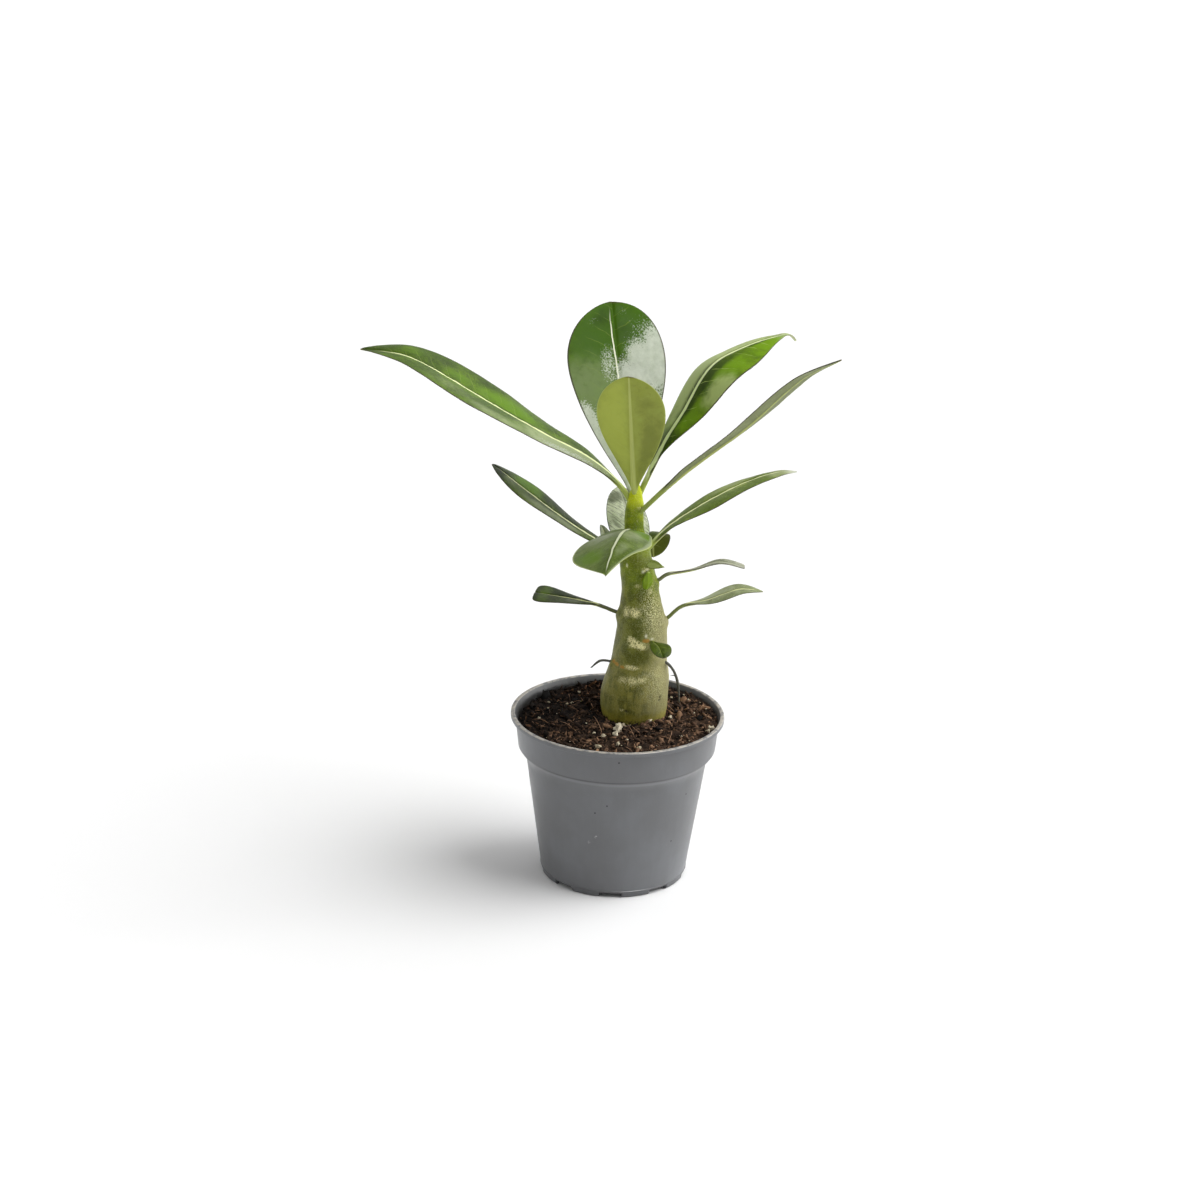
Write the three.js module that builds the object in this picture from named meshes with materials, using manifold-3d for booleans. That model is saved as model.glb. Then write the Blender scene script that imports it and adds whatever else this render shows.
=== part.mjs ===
// A young desert rose (adenium) in a thin plastic nursery pot, in millimetres, +Z up.
// The origin is the centre of the pot's foot, +X is to the right and +Y points away from the viewer.
// The plant is a swollen stem with spoon-shaped leaves in a loose spiral.
// The pot is filled with peat and grit.
import * as THREE from "three";
import { mergeVertices } from "three/addons/utils/BufferGeometryUtils.js";
import Module from "manifold-3d";

const wasm = await Module();
wasm.setup();

// What rests on its neighbour keeps this gap to it.
const GAP = 0.3;

// Points of a mesh that lie closer than this are one point.
const SAME_POINT = 1e-4;

// Pot: outer radii and heights from the foot to the rolled lip.
const POT_HEIGHT = 83.5;
const FOOT_RADIUS = 36;
const FOOT_WIDTH = 1.8;
const FOOT_BEVEL = 0.8;
const BODY_TOP = 61;
const BODY_TOP_RADIUS = 44.6;
const COLLAR_BOTTOM = 66.6;
const COLLAR_BOTTOM_RADIUS = 48.6;
const COLLAR_TOP_RADIUS = 50.3;
const LIP_RADIUS = 52.5;
const LIP_DEPTH = 2.2;
const LIP_ROUND = 0.8;
const LIP_INNER = 50.6;
const WALL = 0.9;
const FLOOR_UNDERSIDE = 2.2;
const FLOOR_TOP = 3.3;
const CENTRE_FOOT_RADIUS = 9;
const POT_SIDES = 64;
const NOTCH_COUNT = 9;
const NOTCH_WIDTH = 9;
const NOTCH_HEIGHT = 1.8;
const NOTCH_START = -92;
const DRAIN_COUNT = 6;
const DRAIN_RADIUS = 2.5;
const DRAIN_CIRCLE = 26;
const DRAIN_SIDES = 12;

// Soil: level at the right, dip towards the left wall, fall away from the viewer, and crumbs.
const SOIL_LEVEL = 81.1;
const SOIL_DIP = 3.6;
const SOIL_DIP_BEND = 1.4;
const SOIL_FALL = 0.006;
const SOIL_LUMP = 0.45;
const SOIL_SIDES = 40;
const SOIL_RINGS = 9;
const CRUMB_COUNT = 34;
const CRUMB_SIZE = [0.9, 1.9];
const CRUMB_WIDTH = [0.6, 1];
const CRUMB_HEIGHT = 0.7;
const CRUMB_RISE = 0.15;
const CRUMB_SEED = 11;

// Stem: its axis stands this far behind the pot's axis; [height, radius] and [height, x] from tip to tip.
const STEM_Y = 5;
const STEM_RADII = [
  [52, 2.5], [60, 8.5], [70, 13.2], [80, 15.4], [87, 16.4], [94, 16.4], [100, 15.8], [105, 14.8], [109, 13.6],
  [114, 13.3], [120, 12.8], [126, 12.3], [131, 12.1], [134, 11.3], [140, 10.1], [146, 9.1], [152, 8.6],
  [158, 8.2], [164, 7.5], [170, 6.2], [176, 4.9], [184, 4.5], [190, 3.9], [195, 3], [199, 1.2],
];
const STEM_AXIS = [
  [52, 8], [80, 8], [94, 8.3], [104, 9.5], [115, 10.1], [127, 10.5], [134, 9.9], [146, 9.2], [158, 7.4],
  [170, 5.9], [181, 5], [190, 5.2], [199, 6],
];
const STEM_SIDES = 24;
const STEM_RINGS = 48;
const STEM_LUMP = 0.02;

// A leaf stalk grows from a low swelling, and a fallen leaf leaves a scar: [heading, height].
const SEAT_SWELL = 0.9;
const SEAT_SPREAD = 2.6;
const SEAT_DROP = 1;
const SEAT_TOP = 190;
const SCARS = [
  [198, 108], [232, 109], [257, 110], [268, 121], [245, 121], [278, 125], [249, 137], [276, 138], [20, 116],
  [95, 110], [130, 122], [60, 128], [150, 142], [75, 146],
];
const SCAR_SWELL = 0.55;
const SCAR_SPREAD = 1.9;

// Leaves. heading: degrees about the stem, with 0 to the right and 90 away from the viewer.
// spine: [distance out from the stem's axis, height] of its midrib. half: greatest half width.
// stalk: share of the length that is stalk. swell, blunt: how the outline widens, and closes at the tip.
// half, swell and blunt are a pair where the left and right halves differ.
// fold: rise of the left and right halves, in degrees. curl: droop of the margins.
// roll: turn about the midrib at base and tip. sway: sideways bend at the tip.
// wave: height, count and phase of the margin's waves. thick: stalk and blade.
// skew: how far the left half runs ahead of the right. tip: half width at the tip.
const LEAVES = [
  {
    name: "leaf_top_back", heading: 110, half: [26, 24.2], stalk: 0.03, swell: [1.4, 1.1],
    blunt: [0.66, 0.44],
    spine: [[0.5, 188], [4.5, 194], [17, 220], [28, 244], [38, 262], [47, 277.5]],
    fold: [7, 7], curl: 0.08, roll: [0, 0], sway: -2.5, wave: [0.6, 2, 0.4], thick: [2.4, 0.9],
  },
  {
    name: "leaf_top_front", heading: 254, half: [16.8, 17.2], stalk: 0.03, swell: [1.3, 1.5],
    blunt: [0.55, 0.75],
    spine: [[0.5, 192], [3, 199], [8, 219], [13, 239], [18, 257]],
    fold: [9, 9], curl: 0.1, roll: [0, 0], sway: 0, wave: [0.3, 1.5, 0], thick: [2.4, 0.9],
  },
  {
    name: "leaf_left_long", heading: 175, half: 18.5, stalk: 0.06, swell: [1.1, 1.2],
    blunt: [0.9, 0.75],
    spine: [[1, 188], [5, 195.5], [22, 210.5], [46, 222.5], [73, 237], [101, 252.5], [113, 257],
      [133, 259]],
    fold: [6, 13], curl: 0.08, roll: [0, -3], sway: 0, wave: [0.5, 2, 1], thick: [2.6, 0.9],
  },
  {
    name: "leaf_right_upper", heading: 30, half: [14.2, 20], stalk: 0.06, swell: [1.4, 2.85],
    blunt: [1.4, 2.2],
    spine: [[1, 191], [5, 199], [16, 219], [26, 233], [37, 250], [44, 255.5], [53, 259], [66, 262.5],
      [77, 264], [84, 264.5], [88, 261]],
    fold: [-10, -7], curl: 0.03, roll: [0, 0], sway: 0, wave: [0.6, 2, 2], tip: 1.7, thick: [2.2, 0.9],
  },
  {
    name: "leaf_right_narrow", heading: 322, half: 7, stalk: 0.14, swell: 0.75, blunt: 0.6,
    spine: [[1, 183], [7, 189.5], [30, 212.5], [62, 239.5], [94, 270], [113, 281.5]],
    fold: [5, 5], curl: 0.04, roll: [-2, -9], sway: 0, wave: [0.3, 2, 0], thick: [2.4, 0.9],
  },
  {
    name: "leaf_left_middle", heading: 170, half: 11.5, stalk: 0.1, swell: [1.4, 1.25], blunt: 0.65,
    spine: [[1, 156], [13, 165.5], [22, 170], [36, 178], [51, 188], [63, 196.5], [73, 203.5]],
    fold: [5, 5], curl: 0.08, roll: [0, 0], sway: 0, wave: [0.4, 2, 0], thick: [2.4, 0.9],
  },
  {
    name: "leaf_right_middle", heading: 12, half: [7.6, 11.5], stalk: 0.1, swell: [0.9, 1.35],
    blunt: [1.1, 1.1],
    spine: [[1, 161], [8.5, 170], [17, 178.5], [33, 188.5], [51, 197.5], [69, 203], [78, 203]],
    fold: [5, 5], curl: 0.08, roll: [0, 0], sway: 0, wave: [0.4, 2, 0], thick: [2.4, 0.9],
  },
  {
    name: "leaf_back_middle", heading: 94, half: [11, 8.9], stalk: 0.12, swell: [0.4, 0.35],
    blunt: [0.5, 0.6],
    spine: [[1, 164], [8, 169], [17, 179], [26, 190]],
    fold: [8, 8], curl: 0.1, roll: [0, 0], sway: 7.5, wave: [0.4, 1.5, 0], thick: [2.2, 0.8],
  },
  {
    name: "leaf_front_drooping", heading: 249, half: [14.6, 24.2], stalk: 0.08, swell: [0.5, 1],
    blunt: [1.15, 1.05],
    spine: [[1, 171], [4, 175.5], [9, 179], [18, 181], [30, 179.8], [42, 176], [53, 170.5]],
    fold: [-17, -23], curl: 0.05, roll: [0, 0], sway: 5.5, wave: [0.8, 1.5, 0], thick: [2.4, 0.8],
  },
  {
    name: "leaf_back_right", heading: 77, half: 9.5, stalk: 0.12, swell: 1, blunt: 0.7,
    spine: [[1, 156], [9, 162], [20, 168], [30, 165], [37, 150.5]],
    fold: [5, 5], curl: 0.1, roll: [0, 0], sway: 0, wave: [0.4, 1.5, 0], thick: [2.2, 0.8],
  },
  {
    name: "leaf_back_small", heading: 144, half: 4.5, stalk: 0.2, swell: 1, blunt: 0.8,
    spine: [[3, 156], [9, 159], [17, 165], [23, 174]],
    fold: [5, 5], curl: 0, roll: [0, 0], sway: 0, wave: [0.2, 1.5, 0], thick: [1.8, 0.8],
  },
  {
    name: "leaf_right_edge_on", heading: 0, half: 3.8, stalk: 0.2, swell: 1.5, blunt: 0.15,
    spine: [[5, 149], [9, 151], [13, 154], [26, 157.3], [39, 161], [50.5, 158.8]],
    fold: [6, 6], curl: 0, roll: [-4, 2], sway: 0, wave: [0.3, 1.5, 0], thick: [1.8, 0.8],
  },
  {
    name: "leaf_right_lowest", heading: 5, half: 7.4, stalk: 0.28, swell: 1, blunt: 0.7,
    spine: [[8, 129], [12, 130.8], [19, 137], [32, 140.4], [48, 145.8], [59, 144.8]],
    fold: [4, 4], curl: 0.05, roll: [0, 0], sway: 0, wave: [0.4, 1.5, 0], thick: [1.8, 0.8],
  },
  {
    name: "leaf_left_lowest", heading: 180, half: [12.5, 11], stalk: 0.28, swell: 1.2, blunt: 0.2,
    spine: [[8, 133], [12, 134], [18, 136.3], [24, 138.3], [37, 140.5], [52, 142.8]],
    fold: [4, 4], curl: 0.05, roll: [0, 0], sway: 0, wave: [0.3, 1.5, 0], skew: 0.14, thick: [1.8, 0.8],
  },
  {
    name: "leaf_front_small", heading: 291, half: [6, 4.3], stalk: 0.3, swell: 0.9, blunt: 0.5,
    spine: [[9, 120.5], [14, 123.5], [22, 124.5], [29, 121]],
    fold: [4, 4], curl: 0.1, roll: [0, 0], sway: 0, wave: [0.3, 1.5, 0], thick: [1.8, 0.8],
  },
  {
    name: "shoot_leaf", heading: 322, half: [1.4, 3.5], stalk: 0.2, swell: 0.5, blunt: [1.2, 0.8],
    spine: [[4, 161], [7, 162], [12, 162], [16.8, 161.3]],
    fold: [4, 4], curl: 0, roll: [40, 40], sway: 0, wave: [0.2, 1.5, 0], thick: [1.6, 0.8],
  },
  {
    name: "shoot_bud", heading: 289, half: 2.6, stalk: 0.15, swell: 0.8, blunt: 0.8,
    spine: [[6, 148], [9, 150], [11, 154], [11, 159]],
    fold: [4, 4], curl: 0, roll: [0, 0], sway: 0, wave: [0.1, 1.5, 0], thick: [1.8, 1.4],
  },
];

// Dried leaf stalks: bare, thin and bent over.
const DRIED_STALKS = [
  {
    name: "dried_stalk_left", heading: 190, sway: 0, thick: [1.6, 0.8],
    spine: [[11, 108], [16, 109.5], [19.5, 109.5], [24, 106]],
  },
  {
    name: "dried_stalk_right", heading: 340, sway: 0, thick: [1.8, 0.8],
    spine: [[10, 110], [14, 110], [17.5, 107], [20, 101.5], [21.5, 90]],
  },
];

// A leaf's mesh: points in a section, sections along it, and how the stalk becomes the blade.
const SECTION_POINTS = 10;
const LEAF_STATIONS = 16;
const TIP_CROWDING = 1.6;
const TIP_HALF = 0.35;
const STALK_FADE = 0.22;
const SHORT_LEAF = 35;
const SHORT_STATIONS = 10;
const DRIED_SIDES = 8;

const PLASTIC = new THREE.MeshStandardMaterial({ color: 0x75787b, roughness: 0.45, metalness: 0 });
const PEAT = new THREE.MeshStandardMaterial({ color: 0x2a1d17, roughness: 0.95, metalness: 0 });
const BARK = new THREE.MeshStandardMaterial({ color: 0x7d7f55, roughness: 0.6, metalness: 0 });
const LEAF_GREEN = new THREE.MeshStandardMaterial({ color: 0x3f6424, roughness: 0.35, metalness: 0 });
const DRIED = new THREE.MeshStandardMaterial({ color: 0x2a2d22, roughness: 0.8, metalness: 0 });

const radians = (degrees) => (degrees * Math.PI) / 180;
const limit = (value) => Math.min(Math.max(value, 0), 1);
const ease = (value) => limit(value) ** 2 * (3 - 2 * limit(value));
const mix = (a, b, share) => a + (b - a) * share;

// The value at a place in a list of [place, value] pairs, on a smooth curve through them.
function along(pairs, place) {
  const last = pairs.length - 1;
  const after = pairs.findIndex((pair) => pair[0] >= place);
  const k = Math.max((after < 0 ? last : after) - 1, 0);
  const slope = (i) => {
    const before = pairs[Math.max(i - 1, 0)];
    const behind = pairs[Math.min(i + 1, last)];
    return (behind[1] - before[1]) / (behind[0] - before[0]);
  };
  const step = pairs[k + 1][0] - pairs[k][0];
  const rise = pairs[k + 1][1] - pairs[k][1];
  const u = limit((place - pairs[k][0]) / step);
  const square = 3 * rise - step * (2 * slope(k) + slope(k + 1));
  const cube = step * (slope(k) + slope(k + 1)) - 2 * rise;
  return pairs[k][1] + u * (step * slope(k) + u * (square + u * cube));
}

// A repeatable run of numbers from 0 to 1.
function draws(seed) {
  const factor = 16807;
  const modulus = 2147483647;
  let state = seed;
  return () => {
    state = (state * factor) % modulus;
    return state / modulus;
  };
}

// A closed mesh becomes a solid that can be joined and cut.
function solid(geometry) {
  const bare = geometry.clone();
  bare.deleteAttribute("normal");
  bare.deleteAttribute("uv");
  const merged = mergeVertices(bare, SAME_POINT);
  const corners = merged.index.array;
  const whole = [];
  for (let i = 0; i < corners.length; i += 3) {
    const [a, b, c] = corners.slice(i, i + 3);
    if (a !== b && b !== c && c !== a) whole.push(a, b, c);
  }
  return new wasm.Manifold(
    new wasm.Mesh({
      numProp: 3,
      vertProperties: merged.attributes.position.array,
      triVerts: new Uint32Array(whole),
    }),
  );
}

function geometryOf(manifold) {
  const made = manifold.getMesh();
  const geometry = new THREE.BufferGeometry();
  geometry.setAttribute("position", new THREE.BufferAttribute(new Float32Array(made.vertProperties), 3));
  geometry.setIndex(new THREE.BufferAttribute(new Uint32Array(made.triVerts), 1));
  return geometry;
}

// The largest of the bodies that a cut leaves.
function largest(manifold) {
  return manifold.decompose().sort((a, b) => b.volume() - a.volume())[0];
}

// Joins rings of points, all with the same count, into one closed skin with a fan at each end.
// A sheet's lower face has its quads split like those above them, so thin faces never cross.
function loft(rings, isSheet = false) {
  const sides = rings[0].length;
  const points = rings.flat();
  const centre = (ring) => ring.reduce((sum, p) => sum.add(p), new THREE.Vector3()).divideScalar(sides);
  const first = points.push(centre(rings[0])) - 1;
  const last = points.push(centre(rings.at(-1))) - 1;
  const top = (rings.length - 1) * sides;
  const index = [];
  for (let j = 0; j < sides; j += 1) {
    const next = (j + 1) % sides;
    index.push(first, next, j, last, top + j, top + next);
    for (let k = 0; k < rings.length - 1; k += 1) {
      const a = k * sides + j;
      const b = k * sides + next;
      if (isSheet && j >= sides / 2) {
        index.push(a, b, a + sides, b, b + sides, a + sides);
      } else {
        index.push(a, b, b + sides, a, b + sides, a + sides);
      }
    }
  }
  const geometry = new THREE.BufferGeometry().setFromPoints(points);
  geometry.setIndex(index);
  return geometry;
}

// The pot's outside and inside radius at a height, without foot and lip.
const POT_OUTLINE = [
  [0, FOOT_RADIUS],
  [BODY_TOP, BODY_TOP_RADIUS],
  [COLLAR_BOTTOM, COLLAR_BOTTOM_RADIUS],
  [POT_HEIGHT - LIP_DEPTH, COLLAR_TOP_RADIUS],
];

function potRadius(height) {
  const k = Math.min(POT_OUTLINE.findIndex((pair) => pair[0] > height), POT_OUTLINE.length - 1);
  const upper = k < 1 ? POT_OUTLINE.length - 1 : k;
  const [z0, r0] = POT_OUTLINE[upper - 1];
  const [z1, r1] = POT_OUTLINE[upper];
  return mix(r0, r1, limit((height - z0) / (z1 - z0)));
}

function makePot() {
  const footInner = FOOT_RADIUS - FOOT_WIDTH;
  const outside = POT_OUTLINE.slice(1).map(([z, r]) => [r, z]);
  const inside = POT_OUTLINE.slice(1).map(([z, r]) => [r - WALL, z]).reverse();
  const lipBottom = POT_HEIGHT - LIP_DEPTH;
  const outline = [
    [0, 0],
    [CENTRE_FOOT_RADIUS, 0],
    [CENTRE_FOOT_RADIUS + FOOT_BEVEL, FLOOR_UNDERSIDE],
    [footInner - FOOT_BEVEL, FLOOR_UNDERSIDE],
    [footInner, 0],
    [FOOT_RADIUS - FOOT_BEVEL / 2, 0],
    [FOOT_RADIUS + FOOT_BEVEL / 4, FOOT_BEVEL],
    ...outside,
    [LIP_RADIUS - LIP_ROUND / 2, lipBottom],
    [LIP_RADIUS, lipBottom + LIP_ROUND / 2],
    [LIP_RADIUS, POT_HEIGHT - LIP_ROUND],
    [LIP_RADIUS - LIP_ROUND, POT_HEIGHT],
    [LIP_INNER, POT_HEIGHT],
    ...inside,
    [potRadius(FLOOR_TOP) - WALL, FLOOR_TOP],
    [0, FLOOR_TOP],
  ];
  const lathe = new THREE.LatheGeometry(outline.map(([r, z]) => new THREE.Vector2(r, z)), POT_SIDES);
  lathe.rotateX(Math.PI / 2);
  let pot = solid(lathe);
  for (let n = 0; n < NOTCH_COUNT; n += 1) {
    const notch = new THREE.BoxGeometry(4 * FOOT_WIDTH, NOTCH_WIDTH, 2 * NOTCH_HEIGHT);
    notch.translate(FOOT_RADIUS - FOOT_WIDTH / 2, 0, 0);
    notch.rotateZ(radians(NOTCH_START + (360 * n) / NOTCH_COUNT));
    pot = pot.subtract(solid(notch));
  }
  for (let n = 0; n < DRAIN_COUNT; n += 1) {
    const drain = new THREE.CylinderGeometry(DRAIN_RADIUS, DRAIN_RADIUS, 3 * FLOOR_TOP, DRAIN_SIDES);
    drain.rotateX(Math.PI / 2);
    drain.translate(DRAIN_CIRCLE, 0, 0);
    drain.rotateZ(radians((360 * n) / DRAIN_COUNT));
    pot = pot.subtract(solid(drain));
  }
  return pot;
}

// The stem's radius: the pairs above, a slow unevenness, leaf seats and scars.
function stemRadius(height, heading) {
  const core = along(STEM_RADII, height);
  const uneven = Math.sin(3 * heading + height / 9) + 0.6 * Math.sin(5 * heading - height / 6);
  const swelling = (place, level, rise, spread) => {
    const turn = Math.atan2(Math.sin(heading - radians(place)), Math.cos(heading - radians(place)));
    return rise * Math.exp(-((turn * core) ** 2 + (height - level) ** 2) / spread ** 2);
  };
  const seats = [...LEAVES, ...DRIED_STALKS].map((leaf) => [leaf.heading, leaf.spine[1][1] - SEAT_DROP]);
  const low = seats.filter(([, level]) => level < SEAT_TOP - SEAT_DROP);
  const seated = low.map(([place, level]) => swelling(place, level, SEAT_SWELL, SEAT_SPREAD));
  const scarred = SCARS.map(([place, level]) => swelling(place, level, SCAR_SWELL, SCAR_SPREAD));
  const bumps = Math.max(...seated, 0) + Math.max(...scarred, 0);
  return core * (1 + STEM_LUMP * uneven) + bumps;
}

// The stem, or with room to spare, the hole that it stands in.
function makeStem(room) {
  const bottom = STEM_RADII[0][0];
  const top = STEM_RADII.at(-1)[0];
  const rings = [];
  for (let k = 0; k < STEM_RINGS; k += 1) {
    const height = mix(bottom, top, k / (STEM_RINGS - 1));
    const ring = [];
    for (let j = 0; j < STEM_SIDES; j += 1) {
      const heading = (2 * Math.PI * j) / STEM_SIDES;
      const radius = stemRadius(height, heading) + room;
      const x = along(STEM_AXIS, height) + radius * Math.cos(heading);
      ring.push(new THREE.Vector3(x, STEM_Y + radius * Math.sin(heading), height));
    }
    rings.push(ring);
  }
  rings[0].forEach((point) => point.setZ(bottom - room));
  rings.at(-1).forEach((point) => point.setZ(top + room));
  return solid(loft(rings));
}

// The soil's surface, before crumbs.
function soilLevel(x, y) {
  const dip = SOIL_DIP * limit(-x / COLLAR_TOP_RADIUS) ** SOIL_DIP_BEND;
  const lumps = Math.sin(x / 5.3 + 1.2) * Math.sin(y / 4.7 + 0.5) + 0.6 * Math.sin((x - y) / 3.1);
  return SOIL_LEVEL - dip - SOIL_FALL * y + SOIL_LUMP * lumps;
}

function makeSoil(hole) {
  const edge = (height) => potRadius(height) - WALL - GAP;
  const ring = (radius, height) => {
    const points = [];
    for (let j = 0; j < SOIL_SIDES; j += 1) {
      const turn = (2 * Math.PI * j) / SOIL_SIDES;
      const x = radius * Math.cos(turn);
      const y = radius * Math.sin(turn);
      points.push(new THREE.Vector3(x, y, height ?? soilLevel(x, y)));
    }
    return points;
  };
  const rings = [FLOOR_TOP + GAP, BODY_TOP, COLLAR_BOTTOM].map((height) => ring(edge(height), height));
  const rim = edge(SOIL_LEVEL - SOIL_DIP);
  for (let k = 0; k < SOIL_RINGS; k += 1) rings.push(ring(rim * (1 - k / SOIL_RINGS)));
  let soil = solid(loft(rings));
  const draw = draws(CRUMB_SEED);
  for (let n = 0; n < CRUMB_COUNT; n += 1) {
    const size = mix(CRUMB_SIZE[0], CRUMB_SIZE[1], draw() ** 2);
    const out = (rim - size) * Math.sqrt(draw());
    const turn = 2 * Math.PI * draw();
    const crumb = new THREE.IcosahedronGeometry(size, 0);
    crumb.scale(1, mix(CRUMB_WIDTH[0], CRUMB_WIDTH[1], draw()), CRUMB_HEIGHT);
    crumb.rotateZ(3 * turn);
    const x = out * Math.cos(turn);
    const y = out * Math.sin(turn);
    crumb.translate(x, y, soilLevel(x, y) + CRUMB_RISE * size);
    soil = soil.add(solid(crumb));
  }
  return largest(soil.subtract(hole));
}

// The curve of a leaf's midrib.
function midrib(leaf) {
  const turn = radians(leaf.heading);
  const start = along(STEM_AXIS, leaf.spine[0][1]);
  const reach = leaf.spine.at(-1)[0];
  const points = leaf.spine.map(([out, height]) => {
    const aside = leaf.sway * (out / reach) ** 2;
    return new THREE.Vector3(
      start + out * Math.cos(turn) - aside * Math.sin(turn),
      STEM_Y + out * Math.sin(turn) + aside * Math.cos(turn),
      height,
    );
  });
  return new THREE.CatmullRomCurve3(points);
}

// The section's directions at a share of the midrib: along it, to the leaf's left and out of its upper face.
function sectionFrame(curve, share, heading, roll) {
  const ahead = curve.getTangentAt(share);
  const level = new THREE.Vector3(-Math.sin(radians(heading)), Math.cos(radians(heading)), 0);
  const left = level.addScaledVector(ahead, -level.dot(ahead)).normalize();
  left.applyAxisAngle(ahead, radians(roll));
  const up = new THREE.Vector3().crossVectors(ahead, left);
  return { centre: curve.getPointAt(share), ahead, left, up };
}

// The half width of a leaf's left (0) or right (1) side at a share of the blade's length.
function bladeHalf(leaf, side, share) {
  const [half, swell, blunt] = [leaf.half, leaf.swell, leaf.blunt].map((value) => value[side] ?? value);
  const widest = swell / (swell + blunt);
  return half * (share / widest) ** swell * ((1 - share) / (1 - widest)) ** blunt;
}

// One section of a leaf: round in the stalk, then a thin sheet with a rib below, upper face first.
function leafSection(leaf, curve, share) {
  const run = limit((share - leaf.stalk) / (1 - leaf.stalk));
  const flat = ease(run / STALK_FADE);
  const [stalk, blade] = leaf.thick;
  const round = (stalk / 2) * (1 - flat);
  const tip = leaf.tip ?? TIP_HALF;
  const halves = [0, 1].map((side) => Math.max(Math.hypot(bladeHalf(leaf, side, run), round), tip));
  const { centre, ahead, left, up } = sectionFrame(curve, share, leaf.heading, mix(...leaf.roll, share));
  const skew = (leaf.skew ?? 0) * ease(run);
  const rib = (stalk - blade) * (1 - run);
  const [height, count, phase] = leaf.wave;
  const points = [];
  for (let j = 0; j < SECTION_POINTS; j += 1) {
    const isLower = j >= SECTION_POINTS / 2;
    const step = isLower ? SECTION_POINTS - 1 - j : j;
    const turn = Math.PI * ((step + 0.5) / (SECTION_POINTS / 2));
    const across = 1 - step / 2;
    const place = mix(Math.cos(turn), across, flat);
    const side = place > 0 ? 0 : 1;
    const half = halves[side];
    const fold = radians(leaf.fold[side]) * flat;
    const ripple = height * place ** 2 * Math.sin(2 * Math.PI * count * share + phase + place);
    const droop = leaf.curl * half * place ** 2;
    const sheet = isLower ? -blade / 2 - rib * (across === 0 ? 1 : 0) : blade / 2;
    const tube = (Math.sin(turn) * stalk * (isLower ? -1 : 1)) / 2;
    const lift = Math.abs(place) * half * Math.sin(fold) + (ripple - droop) * flat;
    const point = centre.clone().addScaledVector(left, place * half * Math.cos(fold));
    point.addScaledVector(ahead, skew * place * half);
    points.push(point.addScaledVector(up, lift + mix(tube, sheet, flat)));
  }
  return points;
}

function makeLeaf(leaf, stemHole) {
  const curve = midrib(leaf);
  const stations = curve.getLength() < SHORT_LEAF ? SHORT_STATIONS : LEAF_STATIONS;
  const rings = [];
  for (let k = 0; k < stations; k += 1) {
    const share = 1 - (1 - k / (stations - 1)) ** TIP_CROWDING;
    rings.push(leafSection(leaf, curve, share));
  }
  return largest(solid(loft(rings, true)).subtract(stemHole));
}

// A dried stalk: a thin round rod that tapers to its tip.
function makeDriedStalk(stalk, stemHole) {
  const curve = midrib(stalk);
  const rings = [];
  for (let k = 0; k < SHORT_STATIONS; k += 1) {
    const share = k / (SHORT_STATIONS - 1);
    const { centre, left, up } = sectionFrame(curve, share, stalk.heading, 0);
    const radius = mix(...stalk.thick, share) / 2;
    const ring = [];
    for (let j = 0; j < DRIED_SIDES; j += 1) {
      const turn = (2 * Math.PI * j) / DRIED_SIDES;
      const point = centre.clone().addScaledVector(left, radius * Math.cos(turn));
      ring.push(point.addScaledVector(up, radius * Math.sin(turn)));
    }
    rings.push(ring);
  }
  return largest(solid(loft(rings)).subtract(stemHole));
}

const plant = new THREE.Group();

function addNode(name, manifold, material) {
  const mesh = new THREE.Mesh(geometryOf(manifold), material);
  mesh.name = name;
  plant.add(mesh);
}

const stemHole = makeStem(GAP);
addNode("pot", makePot(), PLASTIC);
addNode("soil", makeSoil(stemHole), PEAT);
addNode("stem", makeStem(0), BARK);
for (const leaf of LEAVES) addNode(leaf.name, makeLeaf(leaf, stemHole), LEAF_GREEN);
for (const stalk of DRIED_STALKS) addNode(stalk.name, makeDriedStalk(stalk, stemHole), DRIED);

export default plant;
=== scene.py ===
import math
import random

import bmesh
import bpy
import numpy as np
from mathutils import Matrix, Vector, noise


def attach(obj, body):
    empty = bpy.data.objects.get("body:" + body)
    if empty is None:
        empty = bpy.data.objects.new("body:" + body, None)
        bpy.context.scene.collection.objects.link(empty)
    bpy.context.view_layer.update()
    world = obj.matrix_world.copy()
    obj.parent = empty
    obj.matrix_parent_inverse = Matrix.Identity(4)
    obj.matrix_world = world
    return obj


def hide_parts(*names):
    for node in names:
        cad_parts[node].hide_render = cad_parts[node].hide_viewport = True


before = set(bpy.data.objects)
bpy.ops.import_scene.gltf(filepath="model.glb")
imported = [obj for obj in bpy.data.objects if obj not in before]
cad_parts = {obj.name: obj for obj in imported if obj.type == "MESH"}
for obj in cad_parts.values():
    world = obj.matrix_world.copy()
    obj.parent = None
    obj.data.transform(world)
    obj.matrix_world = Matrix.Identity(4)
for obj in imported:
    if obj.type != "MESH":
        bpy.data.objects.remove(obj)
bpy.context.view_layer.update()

# Lengths below are millimetres, as in the CAD model, and angles are degrees.
MM = 0.001

# Camera: 80 mm lens on a 36 mm film width, looking down on the plant's middle.
IMAGE_SIZE = 1200
FILM_WIDTH = 36
LENS = 80
CAMERA_TARGET = (-10.2, 0, 141.7)
CAMERA_DISTANCE = 1292
CAMERA_DOWN = 19.8
CAMERA_ROLL = 1.6

# How far in front of and behind the target a line of sight is searched, and in what steps.
SIGHT_MARGIN = 200
SIGHT_STEP = 0.25

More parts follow.
